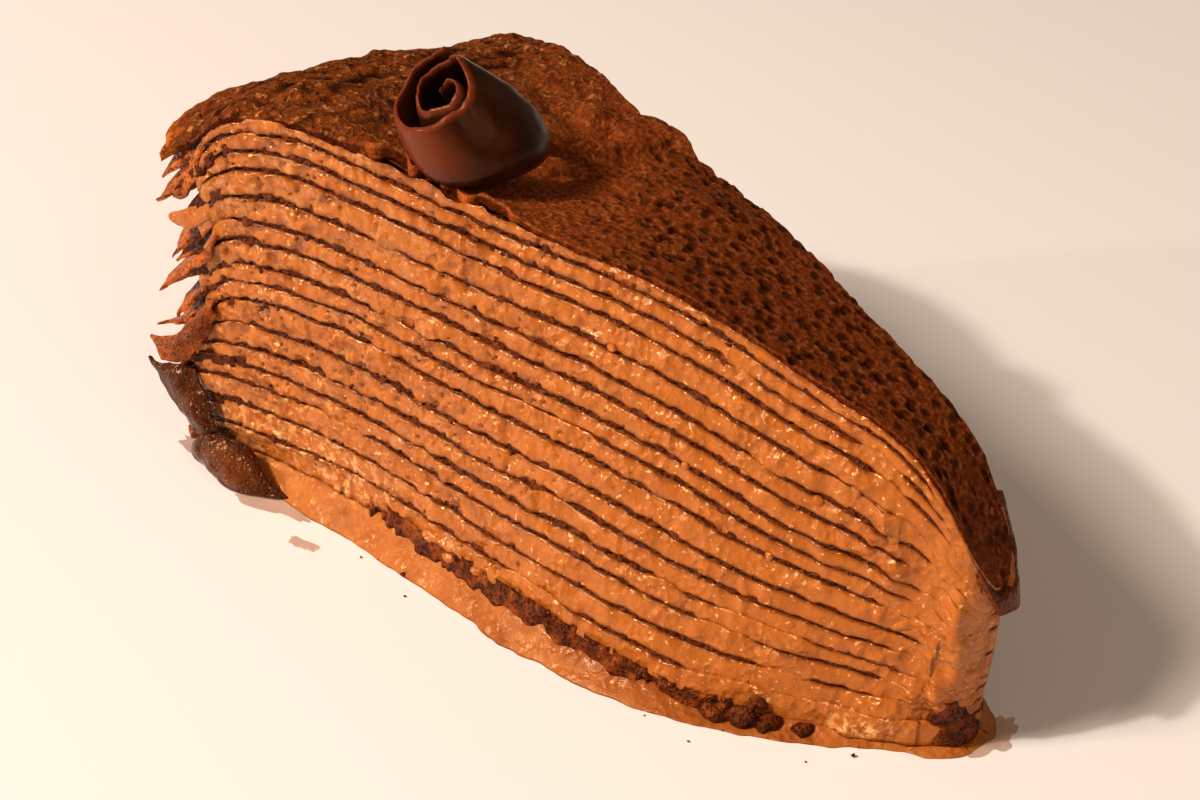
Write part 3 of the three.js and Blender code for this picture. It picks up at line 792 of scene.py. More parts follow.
def join_parts(parts, name):
    deselect()
    for part in parts:
        part.select_set(True)
    bpy.context.view_layer.objects.active = parts[0]
    bpy.ops.object.join()
    return named(name)


def turn_faces_outward(piece):
    select_only(piece)
    bpy.ops.object.mode_set(mode="EDIT")
    bpy.ops.mesh.select_all(action="SELECT")
    bpy.ops.mesh.normals_make_consistent(inside=False)
    bpy.ops.object.mode_set(mode="OBJECT")


def add_block(name, row_count, column_count, cuts):
    """A closed unit block: a grid extruded upwards once, its walls cut into bands.

    Gives the object and, for each vertex, its row, its column and its height from 0 to 1."""
    piece = add_grid(name, row_count, column_count)
    bpy.ops.object.mode_set(mode="EDIT")
    bpy.ops.mesh.select_all(action="SELECT")
    bpy.ops.mesh.extrude_region_move(TRANSFORM_OT_translate={"value": (0, 0, 1)})
    bpy.ops.mesh.select_all(action="DESELECT")
    bpy.ops.mesh.select_mode(type="EDGE")
    bpy.ops.object.mode_set(mode="OBJECT")
    heights = vertex_array(piece)[:, 2]
    ends = np.empty(len(piece.data.edges) * 2, np.int32)
    piece.data.edges.foreach_get("vertices", ends)
    upright = np.abs(heights[ends[0::2]] - heights[ends[1::2]]) > 0.5
    piece.data.edges.foreach_set("select", upright)
    bpy.ops.object.mode_set(mode="EDIT")
    bpy.ops.mesh.subdivide(number_cuts=cuts)
    turn_faces_outward(piece)
    spots = vertex_array(piece)
    rows = np.rint((spots[:, 0] + 1) / 2 * (row_count - 1)).astype(int)
    columns = np.rint((spots[:, 1] + 1) / 2 * (column_count - 1)).astype(int)
    return piece, rows, columns, spots[:, 2]


def copy_piece(template, name):
    """A copy with its own mesh."""
    select_only(template)
    bpy.ops.object.duplicate(linked=False)
    return named(name)


def place(piece, points):
    """Gives the vertices their places: millimetres in the slice's frame become metres in the part's."""
    shifted = (points - (ORIGIN_X, ORIGIN_Y, 0)) * MM
    piece.data.vertices.foreach_set("co", shifted.ravel())
    piece.data.update()


def paint(piece, **painted):
    """Stores values for each vertex, for the materials to read."""
    for name, values in painted.items():
        attribute = piece.data.attributes.new(name, "FLOAT", "POINT")
        attribute.data.foreach_set("value", np.asarray(values, np.float32))


def finish(piece, look, slot, *nodes):
    """Smooth shading, finish, body and the nodes that the piece stands for."""
    select_only(piece)
    bpy.ops.object.shade_smooth()
    piece.data.materials.clear()
    piece.data.materials.append(look.material)
    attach(piece, ROOT)
    if nodes:
        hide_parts(*nodes)
    return piece


def apply_modifier(piece, kind, **settings):
    """Adds a modifier with those settings and applies it."""
    select_only(piece)
    modifier = piece.modifiers.new(kind.title(), kind)
    for key, value in settings.items():
        setattr(modifier, key, value)
    bpy.ops.object.modifier_apply(modifier=modifier.name)


def thicken(piece, thickness):
    """Makes a flat sheet a smooth body of that thickness."""
    apply_modifier(piece, "SOLIDIFY", thickness=thickness * MM, offset=0)
    apply_modifier(piece, "SUBSURF", levels=1)


# ---------------------------------------------------------------- layers


class Lattice:
    """One block for all layers of a kind: for each vertex its station, its share across and its height."""

    def __init__(self, name, stations, shares, cuts):
        self.template, self.rows, self.columns, self.lift = add_block(name, len(stations), len(shares), cuts)
        self.station = stations[self.rows]
        self.across = shares[self.columns]
        self.at_rim = self.rows == 0
        self.at_tip = self.rows == len(stations) - 1
        self.near = self.across < 0.5

    def remove(self):
        select_only(self.template)
        bpy.ops.object.delete()


def surface_of(lattice, station, share, inset):
    """Places of a layer's vertices, and at each the way out: off the cuts, the rim and the tip."""
    points = level_point(station, lattice.across, share, inset)
    run = level_point(station + STEP_AHEAD, lattice.across, share, inset) - points
    length = np.maximum(np.hypot(run[:, 0], run[:, 1]), 1e-6)
    side = np.where(lattice.near, 1.0, -1.0)
    outward = np.column_stack([side * run[:, 1] / length, -side * run[:, 0] / length, np.zeros(len(points))])
    outward[lattice.at_rim] = rim_outward(points[lattice.at_rim])
    outward[lattice.at_tip] = (1, 0, 0)
    return points, outward


def near_edge_weight(points, lattice, share, reach):
    """1 on the cut faces, the rim and the tip, fading inwards over about reach."""
    width = edge_distance(points[:, 0], -1, share, 0) + edge_distance(points[:, 0], 1, share, 0)
    inward = np.minimum(lattice.across, 1 - lattice.across) * np.maximum(width, 1)
    weight = bell(inward, reach)
    weight[lattice.at_rim | lattice.at_tip] = 1
    return weight


def wobble(points, share):
    """Rise and fall of the layers, which neighbours share."""
    height = bpy.context.scene.cake_shape.layer_wobble / MM
    wave = relief_of(points, *LAYER_WAVES) * height * ease(share, *WAVES_BEGIN) * ease(1 - share, *WAVES_END)
    crown = np.interp(points[:, 1], *zip(*RIM_CROWN)) * falling(points[:, 0], *CROWN_LENGTH) * share**3
    return wave + crown


def fade_of(crepe, x, near, points):
    """How far a crepe's cut edge is smeared over with cream, from 0 to 1."""
    shown = np.zeros(len(x))
    for number, start, end in FADED_EDGES:
        if number == crepe:
            covered = ease(x, start, start + FADE_LENGTH) * falling(x, end - FADE_LENGTH, end)
            shown = np.maximum(shown, covered)
    random_fade = ease(relief_of(points, SMEAR_CHANCE, shift=crepe), *SMEAR_LIMITS)
    return np.where(near, np.maximum(shown, SMEAR_MOST * random_fade), random_fade)


def torn_share(lattice):
    """Where the top's near edge is torn and turned up, from 0 to 1."""
    begins, full, to, ends = TORN_EDGE
    return ease(lattice.station, begins, full) * falling(lattice.station, to, ends) * lattice.near


def torn_rise(points):
    """How far the torn edge is turned up."""
    height, varies, least = TORN_RISE
    return height + varies * np.maximum(relief_of(points, TORN_RISE_NOISE), least)


def face_patches(patches, station, share):
    """Sum of soft round patches on the near face."""
    total = np.zeros(len(station))
    for at, level, half_length, half_height, strength in patches:
        total += strength * bell(station - at, half_length) * bell(share - level, half_height)
    return total


def cream_relief(lattice, share, points):
    """Relief of a cream layer's faces: its lumps and drops, and apart from them its grain and pits."""
    froth = ease(relief_of(points, FROTH_PATCHES), *FROTH_LIMITS)
    froth *= 1 - FROTH_LOSS * ease(points[:, 0], *FROTH_LOSS_SPAN)
    froth += RIM_FROTH * falling(lattice.station, *RIM_FROTH_SPAN)
    lumps = relief_of(points, *CREAM_SURFACE)
    lumps += face_patches(FACE_BUMPS, lattice.station, share) * lattice.near
    drops = DROP_HEIGHT * np.maximum(relief_of(points, CREAM_DROPS) - DROP_LIMIT, 0)
    distance, number = bubbles(points, *CREAM_BUBBLES)
    pits = ease(BUBBLE_RADIUS - distance, 0, BUBBLE_EDGE) * (number > BUBBLE_LIMIT) * (FROTH_LEAST + froth)
    grain = (FROTH_LEAST + froth) * relief_of(points, CREAM_GRAIN) + froth * relief_of(points, CREAM_KNOBS)
    return lumps + drops, grain - CREAM_PIT_DEPTH * pits


def paint_cream(lattice, piece, share, points):
    """Where a cream layer is wet, which makes it glossier and paints a highlight on it, and where crepe shows
    through it.
    """
    # Wetness: glossier cream that also gets a painted highlight.
    at_corner = falling(lattice.station, *WET_CORNER_SPAN) * falling(share, *WET_CORNER_LEVELS)
    at_tip = bell(lattice.station - WET_STATION, WET_LENGTH) * bell(share - WET_LEVEL, WET_HEIGHT)
    sheen = ease(relief_of(points, SHEEN_PATCHES), *SHEEN_LIMITS) * falling(lattice.station, *SHEEN_SPAN)
    paint(piece, wet=np.clip(WET_CORNER * at_corner + WET_AT_TIP * at_tip + SHEEN * sheen, 0, 1))
    stain = face_patches(STAINS, lattice.station, share)
    stain *= lattice.near * ease(relief_of(points, STAIN_PATCHES), *STAIN_LIMITS)
    paint(piece, stain=np.clip(STAIN * stain, 0, STAIN_MOST))


def shape_cream(lattice, piece, index, rim_inset):
    """Gives a copy of the block the form of one cream layer: lumpy, with bubbles and lips over the crepes."""
    low, high = CREAM_SHARES[index]
    share = mix(low, high, lattice.lift)
    points, outward = surface_of(lattice, lattice.station, share, FACE_INSET_LOW * (1 - share))
    weight = near_edge_weight(points, lattice, share, CREAM_REACH)
    points[:, 2] += wobble(points, share) - rim_droop(share, lattice.station, lattice.across)
    points[:, 2] += base_sway(lattice.station, share, lattice.across)
    drawn_in = rim_inset * falling(lattice.station, 0, INSET_LENGTH)
    uneven = relief_of(points, RIM_UNEVENNESS, shift=index) * falling(lattice.station, 0, UNEVEN_LENGTH)
    pushed = rim_push(share, lattice.station, lattice.across)
    points += rim_outward(points) * (pushed - drawn_in - np.maximum(uneven, UNEVEN_LEAST))[:, None]
    lumps, grain = cream_relief(lattice, share, points)
    swell = bpy.context.scene.cake_shape.cream_bulge / MM * np.sin(np.pi * lattice.lift)
    points += outward * ((swell + lumps + grain) * weight)[:, None]

    # Lips of cream over the crepe edges above and below.
    lip = np.maximum(relief_of(points, CREAM_LIPS, shift=index) - LIP_LIMIT, 0)
    lip += LONG_LIP * ease(relief_of(points, CREAM_LONG_LIPS, shift=index), *LONG_LIP_LIMITS)
    over = fade_of(index + 2, lattice.station, lattice.near, points)
    under = fade_of(index + 1, lattice.station, lattice.near, points)
    below = CREPE_THICKNESS if index else BASE_CREPE_THICKNESS
    drop = (LIP_OVERLAP + LIP_DOWN * lip + LIP_SHARE * below * under) * (1 - lattice.lift) ** 3
    rise = (LIP_OVERLAP + LIP_UP * lip + LIP_SHARE * CREPE_THICKNESS * over) * lattice.lift**3
    if index == len(CREAM_SHARES) - 1:
        torn = torn_share(lattice) * lattice.lift
        rise = rise + torn * torn_rise(points)
        ragged = 1 + relief_of(points, TORN_CREAM)
        points += outward * (TORN_CREAM_OUT * torn * ragged * weight)[:, None]
        # Inside, the last cream lies lower, clear of the top crepe's creases.
        inside = 1 - near_edge_weight(points, lattice, share, TOP_CREAM_REACH)
        points[:, 2] -= TOP_CREAM_DROP * lattice.lift * inside
    points[:, 2] += np.where(weight > 0.02, (rise - drop) * weight, (rise - drop) * LIP_INSIDE)
    # Painted shade along the cream's seams with the crepes, where their edges aren't smeared over.
    from_seam = np.minimum(lattice.lift, 1 - lattice.lift) * CREAM_THICKNESSES[index]
    covered = np.where(lattice.lift > 0.5, over, under)
    seam = bell(from_seam, SEAM_SHADE_WIDTH + relief_of(points, SEAM_SHADE_WIDTHS)) * (1 - covered)
    place(piece, points)
    paint(piece, relief=grain * weight, seam=seam * weight)
    paint_cream(lattice, piece, share, points)


def flap_reach(index, across, is_top):
    """Reach of a crepe's loose edge past the rim, from the same draws as the solid's."""
    count = FLAP_COLUMNS[is_top]
    draw = seeded_random(FLAP_SEED + index)
    reaches = []
    for j in range(count):
        shown = max(1 - j / FLAP_BLEND, 0)
        reaches.append(mix(mix(*FLAP_REACH_RANGE, draw()), FLAP_TIPS[index][0], shown))
    return np.interp(across * (count - 1), np.arange(count), reaches)


def crepe_plan(lattice, index, share, inset):
    """Places of a crepe's vertices with the loose edge, and how far out on it each lies."""
    station = np.maximum(lattice.station, 0)
    middle_share = np.full(len(share), CREPE_MIDDLES[index])
    points, outward = surface_of(lattice, station, share, inset)
    flap = np.maximum(-lattice.station, 0)
    ragged = 1 + relief_of(points, FLAP_RAGS, shift=index) + relief_of(points, FLAP_FINE_RAGS)
    pushed = rim_push(middle_share, station, lattice.across)
    reach = flap_reach(index, lattice.across, index == CREPE_COUNT - 1)
    out = flap * np.maximum(reach - pushed, FLAP_LEAST) * ragged
    rim = rim_outward(points)
    wave = FLAP_WAVE * np.sin(lattice.across * FLAP_WAVE_TURN) * out
    hanging = rim_droop(middle_share, station - out - pushed * (flap > 0), lattice.across)
    points[:, 2] += wobble(points, share) - hanging
    points[:, 2] += base_sway(station, middle_share, lattice.across)
    points = points + rim * (out + pushed)[:, None]
    curl = out * relief_of(points, FLAP_CURLS, shift=index)
    # Next to the knife's cut the loose edge is pressed down, so the crepe behind it arches over.
    behind = 1 - np.exp(-lattice.across * RIM_WIDTH / ARCH_WIDTH)
    droop = mix(*FLAP_DROOP, np.mean(share)) * out**2 / (out + FLAP_BEND)
    points[:, 2] += (wave + curl - ARCH_DROOP * droop) * behind
    return points, outward, flap, out


def shape_crepe(lattice, piece, index):
    """Gives a copy of the block the form of one crepe: a beaded, porous cut edge and a thin loose edge."""
    is_base = index == 0
    low, high = CREPE_SHARES[index]
    share = mix(low, high, lattice.lift)
    inset = FACE_INSET_LOW * (1 - share) + bpy.context.scene.cake_shape.crepe_recess / MM
    points, outward, flap, out = crepe_plan(lattice, index, share, inset)
    weight = near_edge_weight(points, lattice, share, CREPE_REACH)
    coarse = BASE_COARSENESS if is_base else 1.0
    grain_size, grain_seed = CREPE_GRAIN
    beads = relief_of(points, (BEAD_HEIGHTS[is_base], grain_size * coarse, grain_seed), CREPE_BEADS)
    pore_size, pore_seed = CREPE_PORES
    distance, number = bubbles(points, pore_size * coarse, pore_seed)
    pores = ease(PORE_RADIUS - distance, 0, PORE_EDGE) * (number > PORE_LIMIT)
    hidden = fade_of(index + 1, lattice.station, lattice.near, points) * (flap <= 0)
    bumps = face_patches(FACE_BUMPS, lattice.station, share) * lattice.near
    relief = beads - PORE_DEPTH * coarse * pores + bumps - HIDDEN_DEPTH * hidden
    points += outward * (relief * weight)[:, None]

    # The edge is thicker in places, and thin where it hangs loose.
    middle_share = (low + high) / 2
    station = np.maximum(lattice.station, 0)
    middle = level_point(station, lattice.across, np.full(len(share), middle_share), inset)
    thin = 1 - LOOSE_THINNESS * ease(flap, *LOOSE_THIN_FROM)
    band_strength = ease(math.sin(BAND_TURN * index), *BAND_LIMITS)
    band = falling(lattice.station, *BAND_SPAN) * band_strength * (flap <= 0)
    knots = np.maximum(relief_of(points, CREPE_KNOTS, shift=index), 0)
    thick = EDGE_THICKNESS + relief_of(points, CREPE_THICKENING, shift=index) + BAND_THICKNESS * band
    thick += BASE_EDGE_THICKNESS if is_base else KNOT_THICKNESS * knots
    points[:, 2] += relief_of(points, CREPE_DRIFT, shift=index) * weight
    points += outward * ((BAND_OUT * band + BASE_EDGE_OUT * is_base) * weight)[:, None]
    lift = (lattice.lift - 0.5) * (high - low) * middle[:, 2] / middle_share
    points[:, 2] += lift * (thin * thick - 1) * np.maximum(weight, flap > 0)
    points[:, 2] = np.maximum(points[:, 2], LOWEST[0] + LOWEST[1] * lattice.lift)
    place(piece, points)
    rusty = RUST * (1 - pores) * ease(relief_of(points, BASE_RUST), *RUST_LIMITS) * is_base
    flap_tone = np.maximum(ease(out, *FLAP_TONE_SPAN), rusty)
    # Painted shade in the pores; on a loose edge, the painted orange glow of light through the thin crepe, and
    # on the base crepe its own rust.
    paint(piece, pit=pores * weight, flap=flap_tone, bead=ease(beads, *BEAD_LIMITS) * weight, edge=weight)


def top_folds(points):
    """Creases and rolls of the top crepe, a little ragged."""
    x, y = (points[:, axis] + relief_of(points, FOLD_RAGS, shift=axis) for axis in (0, 1))
    height = np.zeros(len(points))
    for line, rise, half_width in TOP_FOLDS:
        nearest = np.full(len(points), 99.0)
        for start, end in zip(line, line[1:]):
            off_x, off_y = x - start[0], y - start[1]
            run_x, run_y = end[0] - start[0], end[1] - start[1]
            along = np.clip((off_x * run_x + off_y * run_y) / (run_x**2 + run_y**2), 0, 1)
            nearest = np.minimum(nearest, np.hypot(off_x - along * run_x, off_y - along * run_y))
        height += rise * bell(nearest, half_width)
    return height


def shape_top_crepe(lattice, piece):
    """The top crepe: folds, wrinkles at the rim, and pits that are densest towards the tip, with painted shade
    in its pits and creases and towards the tip.
    """
    shape = bpy.context.scene.cake_shape
    index = CREPE_COUNT - 1
    share = mix(*CREPE_SHARES[index], lattice.lift)
    inset = FACE_INSET_LOW * (1 - share) + shape.crepe_recess / MM * 0.5
    points, outward, _, out = crepe_plan(lattice, index, share, inset)
    weight = near_edge_weight(points, lattice, share, CREPE_REACH)
    flat = points * (1, 1, TOP_FLATNESS)
    x, y = points[:, 0], points[:, 1]
    folds = top_relief(x, y) + top_folds(points)
    rim_side = falling(x, *TOP_RIM_SPAN)
    wrinkle = relief_of(flat, *TOP_WRINKLES)
    towards_tip = mix(PITS_LEAST, 1, ease(x + 0.5 * y, *PITS_SPAN))
    distance, number = bubbles(flat, *TOP_PITS)
    pit_radius = PIT_RADIUS[0] + PIT_RADIUS[1] * number
    pits = ease(pit_radius - distance, 0, PIT_EDGE) * (number > PIT_LIMIT) * towards_tip
    surface = relief_of(flat, *TOP_SURFACE) + relief_of(flat, TOP_RIM_GRAIN) * rim_side
    up = wrinkle * rim_side + surface - shape.pit_depth / MM * pits
    points[:, 2] += lattice.lift * (np.maximum(folds, 0) + up) + np.minimum(folds, 0)
    torn = torn_share(lattice)
    tear = relief_of(points, TOP_TEARS)
    rough_edge = relief_of(points, *TOP_EDGE) + torn * (TEAR_RAGS[0] * tear + TEAR_RAGS[1])
    points[:, 2] += torn * near_edge_weight(points, lattice, share, TORN_REACH) * torn_rise(points)
    points += outward * (rough_edge * weight)[:, None]
    place(piece, points)
    # Painted shade in the creases and pits; the tip side is also painted darker, where the top turns from the
    # light.
    crease_shade = CREASE_SHADE * falling(wrinkle, *CREASE_SHADE_LIMITS) * rim_side
    paint(piece, pit=np.maximum(pits, crease_shade) * lattice.lift)
    paint(piece, pores=towards_tip * lattice.lift)
    # Painted light: the torn edge is painted orange where it catches the light.
    lit_edge = LIT_TONE * torn * near_edge_weight(points, lattice, share, LIT_REACH) * ease(tear, *LIT_LIMITS)
    paint(piece, flap=np.maximum(ease(out, *TOP_FLAP_SPAN), lit_edge))
    paint(piece, edge=weight * (lattice.lift < TOP_EDGE_PART))
    paint(piece, rough=rim_side)


def shape_skirt(lattice, piece):
    """The cream skirt under the stack: a soft wet bead that runs in and out along the plate."""
    share = SKIRT_THICKNESS / FULL_THICKNESS * lattice.lift
    points, outward = surface_of(lattice, lattice.station, share, FACE_INSET_LOW * lattice.lift**2.2)
    weight = near_edge_weight(points, lattice, share, SKIRT_REACH)
    middle = np.sin(np.pi * np.clip(lattice.lift, 0, 1))
    foot = np.minimum(relief_of(points, *SKIRT_FOOT), FOOT_MOST)
    fine = relief_of(points, SKIRT_GRAIN) + relief_of(points, *SKIRT_STREAKS) * middle
    ramp = FOOT_RAMP * (1 - lattice.lift) ** 3 - MIDDLE_HOLLOW * middle**2
    points += outward * ((foot + fine + ramp - SKIRT_SET_BACK) * weight)[:, None]
    points[:, 2] += SKIRT_LIFT * lattice.lift + base_sway(lattice.station, share, lattice.across)
    points[:, 2] = np.where(lattice.lift == 0, 0, points[:, 2])
    place(piece, points)
    paint(piece, relief=fine * weight)
    patches = mix(*SKIRT_STAIN, ease(relief_of(points, SKIRT_STAINS), *PATCH_LIMITS))
    begins, full, to, ends = SKIRT_STAIN_SPAN
    stained = ease(lattice.station, begins, full) * falling(lattice.station, to, ends) * patches
    paint(piece, stain=stained * mix(SKIRT_STAIN_LOW, 1, ease(lattice.lift, *SKIRT_STAIN_LEVELS)))
    runny = RUNNY * ease(relief_of(points, SKIRT_RUNS), *RUNNY_LIMITS) * falling(lattice.station, *RUNNY_SPAN)
    # Wet runs and the wet tip foot: glossier, and painted paler with the light skirt colour as a painted
    # highlight.
    paint(piece, wet=np.maximum(runny, bell(lattice.station - WET_STATION, WET_LENGTH)) * lattice.near)


# ---------------------------------------------------------------- leaves, lumps and films


def add_leaf(name, rows, edge_tone, middle_tone):
    """A thin sheet through the rows of points, which stand in the near cut's own plane.

    The tones tell how orange it is at its edges and in its middle, a painted glow of light through it."""
    last_row, last_column = len(rows) - 1, len(rows[0]) - 1
    piece = add_grid(name, last_row * LEAF_FINENESS + 1, last_column * LEAF_FINENESS + 1)
    spots = vertex_array(piece)
    u = (spots[:, 0] + 1) / 2 * last_row
    v = (spots[:, 1] + 1) / 2 * last_column
    lines = np.stack([through(row, v) for row in np.array(rows, float)])
    along, up, out = through(lines, u, np.arange(len(u))).T
    cut_x, cut_y = np.array((SLICE_LENGTH, CUT_RISE)) / math.hypot(SLICE_LENGTH, CUT_RISE)
    points = np.column_stack([along * cut_x + out * cut_y, along * cut_y - out * cut_x - RIM_WIDTH / 2, up])
    crumple = CORNER_CRUMPLE if name.startswith("corner") else 1.0
    for noise in LEAF_CRUMPLES:
        points += crumple * np.column_stack([relief_of(points, noise, shift=axis) for axis in range(3)])
    points[:, 2] = np.maximum(points[:, 2], LEAF_LOWEST)
    place(piece, points)
    middle = np.sin(np.pi * u / last_row) * np.sin(np.pi * v / last_column)
    # Painted glow of light through the thin leaf: more orange where the tones say.
    paint(piece, flap=mix(edge_tone, middle_tone, ease(middle, 0, 0.8)))
    thicken(piece, LEAF_THICKNESS)
    return piece


def through(knots, at, *each):
    """Smooth curve through a row of points, or for each vertex through a row of its own."""
    i = np.clip(at.astype(int), 0, len(knots) - 2)
    slopes = np.gradient(knots, axis=0)
    low, high = (i, *each), (i + 1, *each)
    return hermite(knots[low], knots[high], slopes[low], slopes[high], (at - i)[:, None])


def add_tip_flap(name):
    """The top crepe's edge, which hangs over the tip: a thin sheet bent round it."""
    piece = add_grid(name, *TIP_FLAP_GRID)
    spots = vertex_array(piece)
    turn = mix(TIP_FLAP_FROM, 1, (spots[:, 0] + 1) / 2)
    depth = (1 - spots[:, 1]) / 2
    side = np.abs(np.sin(turn * math.pi / 2))
    station = SLICE_LENGTH - TIP_FLAP_REACH * side**TIP_FLAP_ROUNDNESS
    across = (turn > 0).astype(float)
    ragged = 1 + relief_of(np.column_stack([turn * 3, depth * 0.4, 0 * turn]), TIP_FLAP_RAGS)
    length = mix(*TIP_FLAP_LENGTHS, ease(turn, TIP_FLAP_FROM, 0.15)) * ragged
    length *= 1 - TIP_FLAP_SHORTER * ease(turn, 0.35, 1)
    share = TIP_FLAP_TOP - length * depth
    points = level_point(station, across, share, np.zeros(len(share)))
    middle = level_point(np.full(len(share), TIP_MIDDLE), np.full(len(share), 0.5), share, 0)
    away = (points - middle) * (1, 1, 0)
    away /= np.linalg.norm(away, axis=1)[:, None]
    stands_off = mix(*TIP_FLAP_OUT, ease(depth, 0, TIP_FLAP_SHOULDER)) + TIP_FLAP_FLARE * depth
    stands_off += relief_of(points, TIP_FLAP_BUMPS)
    points += away * stands_off[:, None]
    place(piece, points)
    # Painted glow: the flap is more orange towards its lower edge, where light shines through it.
    paint(piece, flap=TIP_FLAP_TONE * depth)
    thicken(piece, TIP_FLAP_THICKNESS)
    return piece


def face_frame(station, share):
    """Point of the near face and its directions along, up and out."""
    spots = np.array((station, station + STEP_AHEAD))
    here, ahead = level_point(spots, np.zeros(2), np.full(2, share), FACE_INSET_LOW * (1 - share))
    along = (ahead - here) * (1, 1, 0)
    length = np.linalg.norm(along)
    along = along / length if length > 1e-6 else np.array((0, 1.0, 0))
    return here, along, np.array((0, 0, 1.0)), np.array((along[1], -along[0], 0))


def add_lumps(name, lumps, roughness, seed):
    """Lumps on the near face, fused into one closed, uneven mass."""
    parts = []
    for station, share, out, length, height, depth, turn in lumps:
        deselect()
        bpy.ops.mesh.primitive_uv_sphere_add(segments=24, ring_count=16, radius=1)
        ball = bpy.context.object
        parts.append(ball)
        here, along, up, outward = face_frame(station, share)
        spots = vertex_array(ball)
        lean = math.radians(turn)
        first = math.cos(lean) * along + math.sin(lean) * up
        second = math.cos(lean) * up - math.sin(lean) * along
        points = here + out * outward + np.outer(spots[:, 0] * length, first)
        points = points + np.outer(spots[:, 1] * depth, outward) + np.outer(spots[:, 2] * height, second)
        points[:, 2] = np.maximum(points[:, 2], 0.05)
        place(ball, points)
    piece = join_parts(parts, name)
    apply_modifier(piece, "REMESH", mode="VOXEL", voxel_size=LUMP_VOXEL * MM)
    normals = np.empty(len(piece.data.vertices) * 3)
    piece.data.vertex_normals.foreach_get("vector", normals)
    points = vertex_array(piece) / MM + (ORIGIN_X, ORIGIN_Y, 0)
    uneven = relief_of(points, (0.65, 1.6, seed), (0.35, 0.7, seed + 1))
    points += normals.reshape(-1, 3) * (roughness * uneven)[:, None]
    points[:, 2] = np.maximum(points[:, 2], 0.02)
    place(piece, points)
    apply_modifier(piece, "SMOOTH", factor=0.5, iterations=2)
    return piece


def add_puddle(name, middle, radii, turn, height, seed):
    """A thin film on the floor, with an uneven outline."""
    deselect()
    bpy.ops.mesh.primitive_uv_sphere_add(segments=72, ring_count=10, radius=1)
    piece = named(name)
    spots = vertex_array(piece)
    angle = np.arctan2(spots[:, 1], spots[:, 0])
    ring = np.column_stack([np.cos(angle), np.sin(angle), np.zeros(len(angle))])
    reach = 1 + relief_of(ring, (0.4, 0.6, seed), (0.22, 0.2, seed + 1))
    lean = math.radians(turn)
    x, y = spots[:, 0] * reach * radii[0], spots[:, 1] * reach * radii[1]
    flat = np.column_stack([x * math.cos(lean) - y * math.sin(lean), x * math.sin(lean) + y * math.cos(lean)])
    place(piece, np.column_stack([flat + middle, 0.04 + height * (1 + spots[:, 2]) / 2]))
    return piece


# ---------------------------------------------------------------- the curl


def shape_curl(rows, columns, lift):
    """A shaving rolled into a fat leaning spiral, with a ragged lip.

    Gives its points, and for each its share of the way round, its share of the width, and its angle."""
    last_row, last_column = CURL_GRID[0] - 1, CURL_GRID[1] - 1
    run = rows / last_row
    lip = ease(run, LIP_START, 1)
    beside = columns / last_column
    along = beside * (1 - LIP_CUT * lip)
    angle = np.radians(CURL_START_ANGLE) + 2 * np.pi * CURL_TURNS * run
    inner, outer = CURL_RADIUS
    middle = outer - (outer - inner) * (1 - run) * mix(1, CURL_END_TIGHTNESS, along)
    fold = np.clip(run / CURL_FOLD[0], 0, 1)
    middle = mix(CURL_FOLD[1], middle, fold * (2 - fold))
    swell = 1 - MOUTH_NARROWING * (1 - along) ** MOUTH_ROUNDNESS - END_NARROWING * along**END_ROUNDNESS
    belly = 1 + CURL_BELLY[0] * np.cos(angle - np.radians(CURL_BELLY[1]))
    lobe = np.maximum(np.cos(angle - np.radians(CURL_LOBE[1])), 0) ** 1.5
    belly += CURL_LOBE[0] * lobe * (1 - along) * ease(run, 0.25, 0.6)
    belly += 0.06 * np.cos(4 * angle + 0.9) * (1 - ease(run, 0.45, 0.75))
    rounding = np.minimum(1, 0.35 + 14 * np.minimum(beside, 1 - beside))
    wall = CURL_THICKNESS / 2 * (2 * lift - 1) * rounding
    radius = (middle + LIP_OUT * lip * (1 - along) + wall) * swell * belly
    rise, crest_turn, crest_width = CURL_CREST
    off_crest = (np.degrees(angle) - crest_turn + 180) % 360 - 180
    crest = rise * bell(off_crest, crest_width) * ease(run, 0.45, 0.6)
    round_mouth = np.column_stack([angle * 2.4, np.zeros(len(run)), np.zeros(len(run))])
    mouth = MOUTH_SLANT[0] * middle * np.cos(angle - np.radians(MOUTH_SLANT[1])) + LIP_FORWARD * lip + crest
    mouth += relief_of(round_mouth, *CURL_TORN_MOUTH)
    end = END_SLANT[0] * middle * np.cos(angle - np.radians(END_SLANT[1]))
    x = (along - 0.5) * CURL_LENGTH - mouth * (1 - along) + end * along
    return np.column_stack([x, radius * np.cos(angle), radius * np.sin(angle)]), run, along, angle


# ---------------------------------------------------------------- finishes

CREPE_SURFACE = {"IOR": 1.3, "Specular_IOR_Level": 0.5, "Specular_Tint": (1.0, 0.66, 0.42, 1)}
TOP_CREPE_SURFACE = {"IOR": 1.2, "Specular_IOR_Level": 0.3, "Specular_Tint": (1.0, 0.6, 0.35, 1)}
# Kinds of crepe: roughness of its dull and glossy patches, height of its bumps in metres, and surface.
CREPE_KINDS = {
    "plain": ((0.6, 0.14), 0.0006, CREPE_SURFACE),
    "wet": ((0.3, 0.1), 0.0002, CREPE_SURFACE | {"IOR": 1.45}),
    "top": ((0.85, 0.55), 0.0009, TOP_CREPE_SURFACE),
}


